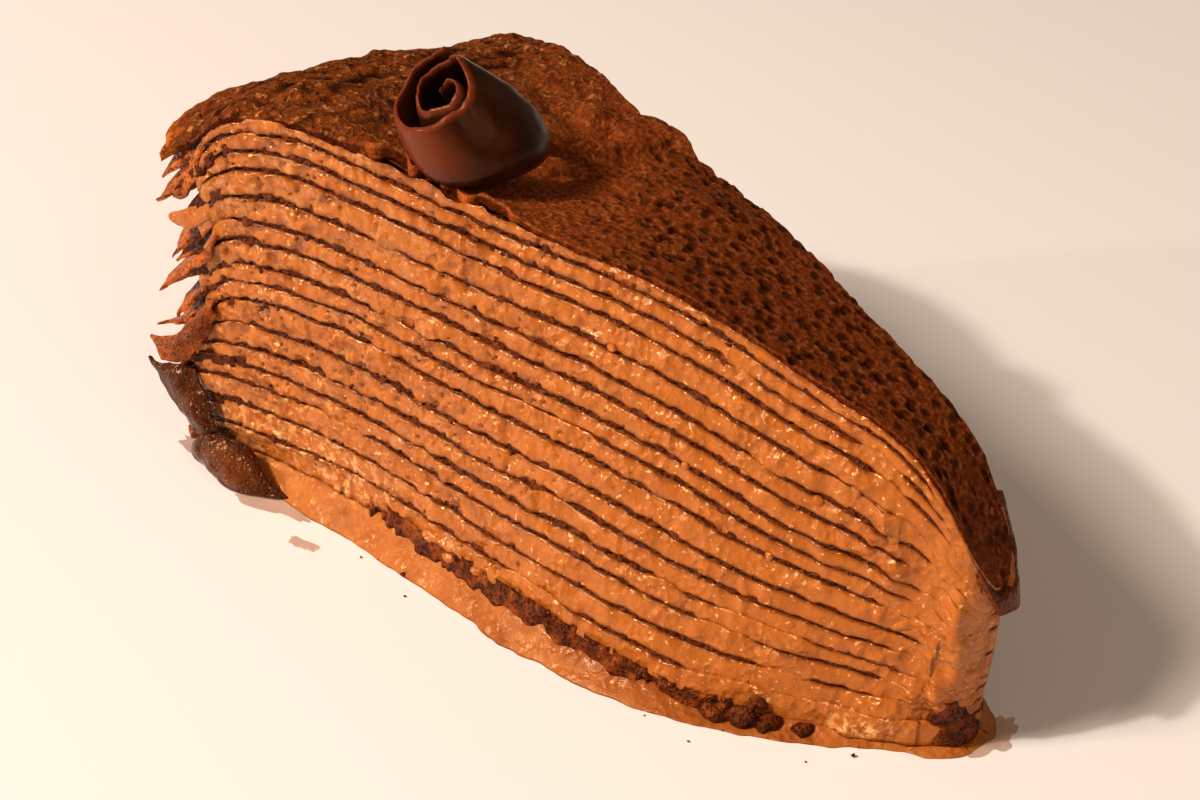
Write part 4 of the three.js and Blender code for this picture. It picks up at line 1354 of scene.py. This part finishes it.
class Look:
    """A material with its surface shader, and the nodes that build it up; sizes are in metres."""

    def __init__(self, name):
        self.material = bpy.data.materials.new(name)
        self.material.use_nodes = True
        self.tree = self.material.node_tree
        self.tree.nodes.clear()
        output = self.node("OutputMaterial")
        self.shader = self.node("BsdfPrincipled")
        self.link(self.shader.outputs["BSDF"], output.inputs["Surface"])
        self.spot = self.node("TexCoord").outputs["Object"]

    def node(self, kind, inputs=None, **settings):
        """A shader node with its settings and its unlinked inputs."""
        node = self.tree.nodes.new("ShaderNode" + kind)
        for key, value in settings.items():
            setattr(node, key, value)
        for key, value in (inputs or {}).items():
            node.inputs[key].default_value = value
        return node

    def link(self, output, socket):
        self.tree.links.new(output, socket)

    def noise(self, size, detail=3.0, roughness=0.55):
        """Noise whose lumps are about that size."""
        node = self.node("TexNoise", {"Scale": 1 / size, "Detail": detail, "Roughness": roughness})
        self.link(self.spot, node.inputs["Vector"])
        return node.outputs["Fac"]

    def cells(self, size):
        node = self.node("TexVoronoi", {"Scale": 1 / size}, feature="F1")
        self.link(self.spot, node.inputs["Vector"])
        return node.outputs["Distance"]

    def ramp(self, value, *stops):
        """Colour ramp with stops of (place, colour)."""
        node = self.node("ValToRGB")
        ramp = node.color_ramp
        while len(ramp.elements) < len(stops):
            ramp.elements.new(0.5)
        for element, (spot, colour) in zip(ramp.elements, stops):
            element.position = spot
            element.color = (*colour, 1)
        self.link(value, node.inputs["Fac"])
        return node.outputs["Color"]

    def blend(self, share, low, high):
        """Mixes two colours: low comes from a node, and high from a node or as a plain colour."""
        node = self.node("Mix", data_type="RGBA", blend_type="MIX")
        self.link(share, node.inputs[0])
        self.link(low, node.inputs[6])
        if isinstance(high, bpy.types.NodeSocket):
            self.link(high, node.inputs[7])
        else:
            node.inputs[7].default_value = (*high, 1)
        return node.outputs[2]

    def product(self, *factors):
        """Multiplies what some nodes give, and a plain number that comes last."""
        *sockets, number = factors
        total = sockets[0]
        for factor in (*sockets[1:], number):
            node = self.node("Math", operation="MULTIPLY")
            self.link(total, node.inputs[0])
            if isinstance(factor, bpy.types.NodeSocket):
                self.link(factor, node.inputs[1])
            else:
                node.inputs[1].default_value = factor
            total = node.outputs[0]
        return total

    def sum(self, *terms):
        """Adds up what some nodes give, each with its factor."""
        total = None
        for value, factor in terms:
            scaled = self.product(value, factor)
            if total is None:
                total = scaled
                continue
            node = self.node("Math", operation="ADD")
            self.link(total, node.inputs[0])
            self.link(scaled, node.inputs[1])
            total = node.outputs[0]
        return total

    def scale(self, value, low, high, to_low=0.0, to_high=1.0):
        """Maps a value from one range to another, clamped."""
        inputs = {"From Min": low, "From Max": high, "To Min": to_low, "To Max": to_high}
        node = self.node("MapRange", inputs)
        self.link(value, node.inputs["Value"])
        return node.outputs["Result"]

    def painted(self, name):
        """The value that paint() stored under that name."""
        return self.node("Attribute", attribute_name=name).outputs["Fac"]

    def colour(self, socket):
        self.link(socket, self.shader.inputs["Base Color"])

    def roughness(self, socket):
        self.link(socket, self.shader.inputs["Roughness"])

    def bump(self, height, distance, strength=1.0):
        node = self.node("Bump", {"Strength": strength, "Distance": distance})
        self.link(height, node.inputs["Height"])
        for socket in ("Normal", "Coat Normal"):
            self.link(node.outputs["Normal"], self.shader.inputs[socket])

    def set(self, **values):
        """Sets inputs of the surface shader."""
        for key, value in values.items():
            self.shader.inputs[key.replace("_", " ")].default_value = value


def cream_finish(name, light, dark, speck_and_gleam_colour, roughness):
    """Glossy whipped cream: caramel brown, mottled, with fine bubbles, painted shade in its hollows and seams,
    and small wet spots that carry a painted highlight.
    """
    look = Look(name)
    colours = bpy.context.scene.cake_colours
    between = mix(np.array(dark), np.array(light), 0.6)
    tint = look.ramp(look.noise(0.004, 4.0), (0.3, dark), (0.52, between), (0.75, light))
    # Painted shade: the cream is darkened in its hollows and bubbles and along its seams with the crepes.
    hollow_shade = look.scale(look.painted("relief"), -CREAM_PIT_DEPTH, -0.1, 0.8, 0.0)
    tint = look.blend(hollow_shade, tint, colours.cream_shadow)
    tint = look.blend(look.scale(look.painted("seam"), 0.1, 1.0, 0.0, 0.7), tint, colours.cream_shadow)
    tint = look.blend(look.scale(look.noise(0.0007, 2.0), 0.66, 0.74), tint, speck_and_gleam_colour)
    # Painted highlight: wet cream is speckled with the pale colour.
    painted_gleam = look.scale(look.noise(0.0013, 4.0, 0.7), 0.5, 0.6)
    tint = look.blend(look.product(painted_gleam, look.painted("wet"), 0.8), tint, speck_and_gleam_colour)
    look.colour(look.blend(look.painted("stain"), tint, colours.crepe_rust))
    wet = look.scale(look.noise(0.0016), 0.4, 0.56, roughness, roughness - 0.3)
    look.roughness(look.sum((wet, 1.0), (look.painted("wet"), -0.16)))
    lumpy = look.scale(look.noise(0.0055, 2.0), 0.42, 0.58, 0.15, 0.9)
    froth = look.product(look.cells(0.0011), lumpy, 1.0)
    look.bump(look.sum((look.noise(0.00045), 0.2), (froth, 0.9)), 0.0005)
    look.set(Subsurface_Weight=0.22, Subsurface_Scale=0.0016, Subsurface_Radius=(1.0, 0.42, 0.2))
    look.set(Specular_IOR_Level=0.6, Specular_Tint=(1.0, 0.66, 0.4, 1))
    return look


def cream_of(name, roughness):
    """The filling's own cream."""
    colours = bpy.context.scene.cake_colours
    return cream_finish(name, colours.cream_light, colours.cream_dark, colours.cream_speck_and_gleam, roughness)


def top_skin(look, fine, broad):
    """Sandy, pitted skin of the top crepe: its colour and its height. The colour has painted shade in its pits
    and cracks and towards the tip, and lighter sand near the rim that is partly a painted highlight.
    """
    colours = bpy.context.scene.cake_colours
    dark, brown, light = colours.top_dark, colours.top_brown, colours.top_light
    pores = look.scale(look.cells(0.0017), 0.2, 0.5, 1.0, 0.0)
    grain = look.ramp(fine, (0.32, dark), (0.5, brown), (0.74, light))
    skin = look.blend(look.scale(broad, 0.3, 0.65, 0.25, 0.75), grain, brown)
    # Lighter sandy grain near the rim, partly a painted highlight; it also raises the bump.
    sandy_grain_and_highlight = look.scale(look.noise(0.0012, 4.0, 0.7), 0.48, 0.62)
    skin = look.blend(look.product(sandy_grain_and_highlight, look.painted("rough"), 0.85), skin, light)
    # Painted shade in the cracks near the rim.
    crevice_shade = look.scale(look.noise(0.0017, 4.0, 0.7), 0.38, 0.5, 1.0, 0.0)
    skin = look.blend(look.product(crevice_shade, look.painted("rough"), 0.95), skin, dark)
    # Painted shade: the skin is darker towards the tip, where it turns from the light; the same value makes the
    # pits denser there.
    pores_and_tip_shade = look.painted("pores")
    skin = look.blend(look.product(pores_and_tip_shade, pores_and_tip_shade, 0.46), skin, dark)
    # Painted shade in the pits.
    pores = look.product(pores, pores_and_tip_shade, 1.0)
    skin = look.blend(look.product(pores, pores, 0.85), skin, dark)
    sandy_grain_and_highlight = look.product(sandy_grain_and_highlight, look.painted("rough"), 1.0)
    return skin, look.sum((fine, 0.35), (pores, -0.5), (sandy_grain_and_highlight, 0.8))


def crepe_finish(name, kind="plain", tone=1.0):
    """Dark porous crepe: nearly black where it is cut, with painted shade in its pores, rust brown on its skin,
    and orange where it is thin, a painted glow of light through it.
    """
    look = Look(name)
    colours = bpy.context.scene.cake_colours
    shades = (colours.crepe_pit, colours.crepe_cut, colours.crepe_rust, colours.flap_orange)
    pore, cut, rust, orange = (tuple(tone * part for part in shade) for shade in shades)
    roughness, bump_height, surface = CREPE_KINDS[kind]
    broad = look.noise(0.006, 4.0)
    fine = look.noise(0.0006)
    if kind == "top":
        skin, height = top_skin(look, fine, broad)
    else:
        small_pores = look.scale(look.cells(0.0006), 0.2, 0.44, 1.0, 0.0)
        skin = look.ramp(fine, (0.3, cut), (0.7, rust))
        height = look.sum((fine, 0.7), (small_pores, -0.7))
    # Painted shade in the pores, pits and creases.
    pore_shade_colour = colours.top_dark if kind == "top" else pore
    skin = look.blend(look.scale(look.painted("pit"), 0.1, 0.8), skin, pore_shade_colour)
    sliced = look.ramp(fine, (0.35, pore), (0.55, cut), (0.8, rust))
    sliced = look.blend(look.scale(look.painted("bead"), 0.0, 1.0, 0.0, 0.6), sliced, rust)
    skin = look.blend(look.scale(look.painted("edge"), 0.2, 0.8), skin, sliced)
    # Painted glow of light through loose, thin crepe; the same blend gives the base crepe and torn crepe their
    # own rust tones.
    loose = look.ramp(broad, (0.3, rust), (0.62, orange))
    look.colour(look.blend(look.scale(look.painted("flap"), 0.1, 1.0, 0.0, 0.95), skin, loose))
    look.roughness(look.scale(look.noise(0.0012, 2.0), 0.4, 0.62, *roughness))
    look.bump(height, bump_height)
    look.set(Subsurface_Weight=0.08, Subsurface_Scale=0.001, Subsurface_Radius=(1.0, 0.3, 0.1), **surface)
    return look


def chocolate_finish():
    """Dark chocolate, half glossy, with a faint bloom, and red painted on its thin edges and its lobe as
    painted highlight and glow.
    """
    look = Look("dark_chocolate")
    colours = bpy.context.scene.cake_colours
    tint = look.ramp(look.noise(0.005, 4.0), (0.35, colours.chocolate_dark), (0.7, colours.chocolate_brown))
    # Painted highlight and glow: red where the curl is painted thin.
    look.colour(look.blend(look.painted("thin"), tint, colours.chocolate_painted_glow))
    look.roughness(look.scale(look.noise(0.0025, 4.0), 0.4, 0.65, 0.2, 0.42))
    look.bump(look.noise(0.0011), 0.0001, 0.5)
    look.set(IOR=1.3, Specular_IOR_Level=0.5, Specular_Tint=(1.0, 0.5, 0.28, 1))
    return look


def sauce_finish():
    """Thin wet sauce that lets the floor show through."""
    look = Look("thin_sauce")
    colours = bpy.context.scene.cake_colours
    look.colour(look.ramp(look.noise(0.003), (0.3, colours.sauce_dark), (0.65, colours.sauce_light)))
    look.set(Roughness=0.16, Specular_IOR_Level=0.5, Alpha=0.26)
    return look


def plain_finish(name, colour, roughness):
    """Matt surface with a faint mottle, for the floor."""
    look = Look(name)
    shade = tuple(0.985 * part for part in colour)
    look.colour(look.ramp(look.noise(0.4, 2.0), (0.3, shade), (0.7, colour)))
    look.set(Roughness=roughness, Specular_IOR_Level=0.3)
    return look


# ---------------------------------------------------------------- settings


def colour_property(name, description, value):
    return FloatVectorProperty(
        name=name, description=description, subtype="COLOR", size=3, default=value, min=0, max=1
    )


def length_property(name, description, value):
    return FloatProperty(name=name, description=description, default=value, unit="LENGTH")


class CakeShape(bpy.types.PropertyGroup):
    """Sizes of the relief."""

    layer_wobble: length_property("Layer wobble", "Rise and fall of the layers", 0.00035)
    cream_bulge: length_property("Cream bulge", "How far the cream swells out between crepes", 0.00012)
    crepe_recess: length_property("Crepe recess", "How far the crepe edges lie inside the cream", 0.0002)
    pit_depth: length_property("Pit depth", "Depth of the top's pits", 0.00042)
    mesh_step: length_property("Mesh step", "Spacing of points along the cut", 0.00026)
    crumb_count: IntProperty(name="Crumbs", description="Number of crumbs at the foot", default=16)


class CakeColours(bpy.types.PropertyGroup):
    """Colours of the cake."""

    cream_light: colour_property("Cream light", "Raised cream", (0.47, 0.126, 0.0155))
    cream_dark: colour_property("Cream dark", "Cream in the mottle's dark parts", (0.345, 0.082, 0.0085))
    # Painted shade of the cream in its hollows, bubbles and seams.
    cream_shadow: colour_property("Cream hollow", "Cream in hollows and bubbles", (0.14, 0.025, 0.0035))
    # Pale specks of cream, and the colour of the painted highlight on wet cream.
    cream_speck_and_gleam: colour_property("Cream speck", "Pale specks of cream", (0.88, 0.44, 0.17))
    skirt_light: colour_property("Skirt light", "Raised part of the skirt", (0.5, 0.15, 0.029))
    skirt_dark: colour_property("Skirt dark", "Skirt in the mottle's dark parts", (0.31, 0.075, 0.0125))
    # The darkest tone of a crepe's crumb, and the painted shade inside its pores.
    crepe_pit: colour_property("Crepe pore", "Inside a pore", (0.034, 0.005, 0.0009))
    crepe_cut: colour_property("Crepe cut", "Cut edge of a crepe", (0.085, 0.0125, 0.002))
    crepe_rust: colour_property("Crepe skin", "Skin of a crepe", (0.19, 0.03, 0.0045))
    # Painted glow of light through a thin loose crepe edge.
    flap_orange: colour_property("Crepe edge", "Thin loose edge of a crepe", (0.52, 0.115, 0.016))
    # Dark grain of the top crepe, and its painted shade in pits, cracks and towards the tip.
    top_dark: colour_property("Top dark", "Dark grain of the top crepe", (0.032, 0.005, 0.0007))
    top_brown: colour_property("Top brown", "Main brown of the top crepe", (0.182, 0.0325, 0.0052))
    # Raised grain of the top crepe, partly a painted highlight near the rim.
    top_light: colour_property("Top light", "Raised grain of the top crepe", (0.53, 0.17, 0.042))
    sauce_dark: colour_property("Sauce dark", "Thick part of the thin sauce", (0.38, 0.12, 0.025))
    sauce_light: colour_property("Sauce light", "Thin part of the sauce", (0.58, 0.26, 0.08))
    chocolate_dark: colour_property("Chocolate dark", "Dark chocolate", (0.014, 0.0028, 0.0008))
    chocolate_brown: colour_property("Chocolate brown", "Bloomed chocolate", (0.03, 0.006, 0.0014))
    # Painted highlight and glow on the curl's thin edges and lobe.
    chocolate_painted_glow: colour_property("Chocolate red", "Thin chocolate", (0.2, 0.033, 0.01))


class CakeStage(bpy.types.PropertyGroup):
    """Floor, lights and camera."""

    floor_colour: colour_property("Floor", "Colour of the floor", (0.84, 0.78, 0.79))
    key_power: FloatProperty(name="Key light", description="Power of the window light", default=10.2)
    fill_power: FloatProperty(name="Fill light", description="Power of the fill light", default=1.4)
    sky_strength: FloatProperty(name="Sky", description="Strength of the light from all round", default=0.22)
    lens: FloatProperty(name="Lens", description="Focal length for a 36 mm sensor", default=78.0)


# ---------------------------------------------------------------- operators


class CakeOperator(bpy.types.Operator):
    """Shared settings of the cake's operators."""

    bl_options = {"REGISTER", "UNDO"}


class CAKE_OT_cream_layers(CakeOperator):
    """Builds the sixteen cream layers"""

    bl_idname = "cake.cream_layers"
    bl_label = "Cream layers"

    def execute(self, context):
        stations = fine_stations(context.scene.cake_shape.mesh_step / MM)
        lattice = Lattice("cream_block", stations, mirrored(CREAM_COLUMNS), CREAM_CUTS)
        look = cream_of("whipped_cream", 0.42)
        draw = seeded_random(RIM_INSET_SEED)
        for index in range(len(CREAM_SHARES)):
            node = f"cream_{index + 1:02d}"
            piece = copy_piece(lattice.template, f"fine_{node}")
            shape_cream(lattice, piece, index, RIM_INSET_MOST * draw())
            finish(piece, look, "cream", node)
        lattice.remove()
        return {"FINISHED"}


class CAKE_OT_crepe_layers(CakeOperator):
    """Builds the crepes below the top one, with their loose edges"""

    bl_idname = "cake.crepe_layers"
    bl_label = "Crepes"

    def execute(self, context):
        stations = crepe_stations(context.scene.cake_shape.mesh_step / MM)
        lattice = Lattice("crepe_block", stations, mirrored(CREPE_COLUMNS), CREPE_CUTS)
        look = crepe_finish("crepe")
        for index in range(CREPE_COUNT - 1):
            node = f"crepe_{index + 1:02d}"
            piece = copy_piece(lattice.template, f"fine_{node}")
            shape_crepe(lattice, piece, index)
            finish(piece, look, "crepe", node)
        lattice.remove()
        return {"FINISHED"}


class CAKE_OT_top_crepe(CakeOperator):
    """Builds the pitted, folded top crepe"""

    bl_idname = "cake.top_crepe"
    bl_label = "Top crepe"

    def execute(self, context):
        shares = np.concatenate([[0, 0.004], np.linspace(0.012, 0.988, TOP_COLUMN_COUNT), [0.996, 1]])
        lattice = Lattice("top_block", crepe_stations(TOP_STEP), shares, CREPE_CUTS)
        piece = copy_piece(lattice.template, "fine_crepe_17")
        shape_top_crepe(lattice, piece)
        finish(piece, crepe_finish("top_crepe", "top"), "top_crepe", "crepe_17")
        lattice.remove()
        return {"FINISHED"}


class CAKE_OT_skirt(CakeOperator):
    """Builds the cream skirt at the plate"""

    bl_idname = "cake.skirt"
    bl_label = "Cream skirt"

    def execute(self, context):
        lattice = Lattice("skirt_block", fine_stations(SKIRT_STEP), mirrored(SKIRT_COLUMNS), SKIRT_CUTS)
        piece = copy_piece(lattice.template, "fine_base_cream")
        shape_skirt(lattice, piece)
        light, dark = context.scene.cake_colours.skirt_light, context.scene.cake_colours.skirt_dark
        look = cream_finish("skirt_cream", light, dark, light, 0.5)
        look.set(IOR=1.33)
        finish(piece, look, "cream_skirt", "base_cream")
        lattice.remove()
        return {"FINISHED"}


class CAKE_OT_curl(CakeOperator):
    """Builds the rolled chocolate shaving on the top crepe"""

    bl_idname = "cake.curl"
    bl_label = "Chocolate curl"

    def execute(self, context):
        piece, rows, columns, lift = add_block("fine_chocolate_curl", *CURL_GRID, CURL_CUTS)
        points, run, along, angle = shape_curl(rows, columns, lift)
        tilt = Euler((0, math.radians(CURL_TILT), 0)).to_matrix()
        turn = np.array(Euler((0, 0, math.radians(CURL_HEADING))).to_matrix() @ tilt).T
        points = points @ turn
        lowest, highest = points.min(axis=0), points.max(axis=0)
        points += (*CURL_MIDDLE, CURL_TOP)
        points -= ((lowest[0] + highest[0]) / 2, (lowest[1] + highest[1]) / 2, highest[2])
        radial = np.column_stack([np.zeros(len(angle)), np.cos(angle), np.sin(angle)]) @ turn
        points += radial * relief_of(points, *CURL_DENTS)[:, None]
        place(piece, points)
        # Painted light: red on the curl's thin edges as a painted highlight, and on its lobe by the mouth,
        # which faces the light.
        from_side = np.minimum(columns, CURL_GRID[1] - 1 - columns) / 4
        rim = np.maximum(falling(from_side, 0, 1), ease(run, 0.965, 1))
        lobe_painted_light = 0.55 * ease(np.cos(angle - math.radians(268)), 0.1, 0.9)
        lobe_painted_light *= ease(run, 0.5, 0.7) * (1 - ease(along, 0.3, 0.9))
        paint(piece, thin=np.maximum(0.6 * rim, lobe_painted_light))
        turn_faces_outward(piece)
        finish(piece, chocolate_finish(), "chocolate", "chocolate_curl")
        return {"FINISHED"}


class CAKE_OT_leaves(CakeOperator):
    """Builds the loose crepe leaves at the near corner of the rim"""

    bl_idname = "cake.leaves"
    bl_label = "Loose leaves"

    def execute(self, context):
        plain = crepe_finish("loose_crepe")
        wet = crepe_finish("wet_crepe", "wet", 0.36)
        for name, rows in LEAVES.items():
            piece = add_leaf(name, rows, *LEAF_ORANGE.get(name, LEAF_ORANGE_ELSEWHERE))
            finish(piece, wet if name.startswith("corner") else plain, "crepe")
        finish(add_leaf("coated_leaf", COATED_LEAF, 0, 0), cream_of("coated_crepe", 0.38), "cream")
        return {"FINISHED"}


class CAKE_OT_smears(CakeOperator):
    """Builds the smeared and dragged cream on the near face"""

    bl_idname = "cake.smears"
    bl_label = "Cream smears"

    def execute(self, context):
        look = cream_of("smeared_cream", 0.34)
        finish(add_lumps("cream_smears", CREAM_LUMPS, 0.3, 141), look, "cream")
        return {"FINISHED"}


class CAKE_OT_torn_crepe(CakeOperator):
    """Builds the rolled end of the base crepe and the torn crepe at the tip"""

    bl_idname = "cake.torn_crepe"
    bl_label = "Torn crepe"

    def execute(self, context):
        look = crepe_finish("torn_crepe", tone=0.75)
        ends = (("base_crepe_end", CREPE_LUMPS, 0.85, 151), ("tip_crepe", TIP_LUMPS, 0.3, 153))
        for name, lumps, roughness, seed in ends:
            piece = add_lumps(name, lumps, roughness, seed)
            spots = vertex_array(piece) / MM
            paint(piece, edge=ease(soft_noise(spots, 1.1, seed + 5), -0.3, 0.4))
            paint(piece, flap=0.6 * ease(soft_noise(spots, 1.6, seed + 6), 0.1, 0.8))
            finish(piece, look, "crepe")
        finish(add_tip_flap("tip_flap"), look, "top_crepe")
        return {"FINISHED"}


class CAKE_OT_sauce(CakeOperator):
    """Builds the thin sauce and the smear on the floor"""

    bl_idname = "cake.sauce"
    bl_label = "Thin sauce"

    def execute(self, context):
        look = sauce_finish()
        for name, *measures in PUDDLES:
            finish(add_puddle(name, *measures), look, "cream_skirt")
        return {"FINISHED"}


class CAKE_OT_crumbs(CakeOperator):
    """Scatters crepe crumbs at the foot"""

    bl_idname = "cake.crumbs"
    bl_label = "Crumbs"

    def execute(self, context):
        draw = seeded_random(CRUMB_SEED)
        parts = []
        for number in range(1, context.scene.cake_shape.crumb_count + 1):
            deselect()
            bpy.ops.mesh.primitive_ico_sphere_add(subdivisions=2, radius=1)
            crumb = bpy.context.object
            parts.append(crumb)
            size = mix(*CRUMB_SIZES, draw() ** 2)
            here, _, _, outward = face_frame(mix(*CRUMB_STATIONS, draw()), 0)
            middle = here + outward * mix(*CRUMB_DISTANCES, draw() ** 2)
            spots = vertex_array(crumb)
            spots = spots * (1 + relief_of(spots, (0.35, 0.7, CRUMB_SEED + 1 + number)))[:, None]
            place(crumb, spots * size * (1, 1, 0.8) + middle * (1, 1, 0) + (0, 0, size))
        finish(join_parts(parts, "crumbs"), crepe_finish("crumb_crepe"), "crepe")
        return {"FINISHED"}


class CAKE_OT_stage(CakeOperator):
    """Builds the floor, the lights and the camera"""

    bl_idname = "cake.stage"
    bl_label = "Stage"

    def execute(self, context):
        stage = context.scene.cake_stage
        deselect()
        bpy.ops.mesh.primitive_grid_add(x_subdivisions=8, y_subdivisions=8, size=FLOOR_SIZE)
        floor = context.object
        floor.name = "floor"
        floor.data.materials.append(plain_finish("pale_floor", stage.floor_colour, 0.45).material)
        for name, spot, size, share, colour in LIGHTS:
            self.add_light(name, spot, size, stage.key_power * share, colour)
        self.add_light(*FILL_LIGHT, stage.fill_power, FILL_COLOUR)
        world = bpy.data.worlds.new("pale_room")
        context.scene.world = world
        world.use_nodes = True
        sky = world.node_tree.nodes["Background"]
        sky.inputs["Color"].default_value = SKY_COLOUR
        sky.inputs["Strength"].default_value = stage.sky_strength
        context.scene.view_settings.view_transform = "Standard"
        self.add_camera(context, stage.lens)
        return {"FINISHED"}

    def add_light(self, name, spot, size, power, colour):
        aim = Vector(LIGHT_AIM) - Vector(spot)
        turn = aim.to_track_quat("-Z", "Y").to_euler()
        bpy.ops.object.light_add(type="AREA", location=spot, rotation=turn)
        light = bpy.context.object
        light.name = name
        light.data.shape = "DISK"
        light.data.size = size
        light.data.energy = power
        light.data.color = colour

    def add_camera(self, context, lens):
        """Camera at the viewing angle, rolled a little."""
        ahead = (Vector(CAMERA_AIM) - Vector(CAMERA_SPOT)).normalized()
        level = ahead.cross(Vector((0, 0, 1))).normalized()
        upright = level.cross(ahead)
        roll = math.radians(CAMERA_ROLL)
        right = math.cos(roll) * level + math.sin(roll) * upright
        up = right.cross(ahead)
        turn = Matrix((right, up, -ahead)).transposed().to_euler()
        bpy.ops.object.camera_add(location=CAMERA_SPOT, rotation=turn)
        camera = context.object
        camera.name = "camera"
        camera.data.lens = lens
        camera.data.sensor_width = 36
        camera.data.clip_start = 0.01
        camera.data.clip_end = 20
        context.scene.camera = camera


class CAKE_PT_panel(bpy.types.Panel):
    """Lists the cake's pieces in the sidebar"""

    bl_label = "Crepe cake slice"
    bl_idname = "CAKE_PT_panel"
    bl_space_type = "VIEW_3D"
    bl_region_type = "UI"
    bl_category = "Cake"

    def draw(self, context):
        for operator in OPERATORS:
            self.layout.operator(operator.bl_idname)
        for settings in ("cake_shape", "cake_colours", "cake_stage"):
            group = getattr(context.scene, settings)
            for key in group.bl_rna.properties.keys():
                if key not in ("name", "rna_type"):
                    self.layout.prop(group, key)


OPERATORS = (
    CAKE_OT_cream_layers,
    CAKE_OT_crepe_layers,
    CAKE_OT_top_crepe,
    CAKE_OT_skirt,
    CAKE_OT_curl,
    CAKE_OT_leaves,
    CAKE_OT_smears,
    CAKE_OT_torn_crepe,
    CAKE_OT_sauce,
    CAKE_OT_crumbs,
    CAKE_OT_stage,
)
SETTINGS = {"cake_shape": CakeShape, "cake_colours": CakeColours, "cake_stage": CakeStage}


def register():
    for group in SETTINGS.values():
        bpy.utils.register_class(group)
    for operator in OPERATORS:
        bpy.utils.register_class(operator)
    bpy.utils.register_class(CAKE_PT_panel)
    for name, group in SETTINGS.items():
        setattr(bpy.types.Scene, name, PointerProperty(type=group))


def unregister():
    for name in SETTINGS:
        delattr(bpy.types.Scene, name)
    bpy.utils.unregister_class(CAKE_PT_panel)
    for operator in reversed(OPERATORS):
        bpy.utils.unregister_class(operator)
    for group in reversed(SETTINGS.values()):
        bpy.utils.unregister_class(group)


def main():
    register()
    bpy.ops.cake.cream_layers()
    bpy.ops.cake.crepe_layers()
    bpy.ops.cake.top_crepe()
    bpy.ops.cake.skirt()
    bpy.ops.cake.curl()
    bpy.ops.cake.leaves()
    bpy.ops.cake.smears()
    bpy.ops.cake.torn_crepe()
    bpy.ops.cake.sauce()
    bpy.ops.cake.crumbs()
    bpy.ops.cake.stage()


if __name__ == "__main__":
    main()
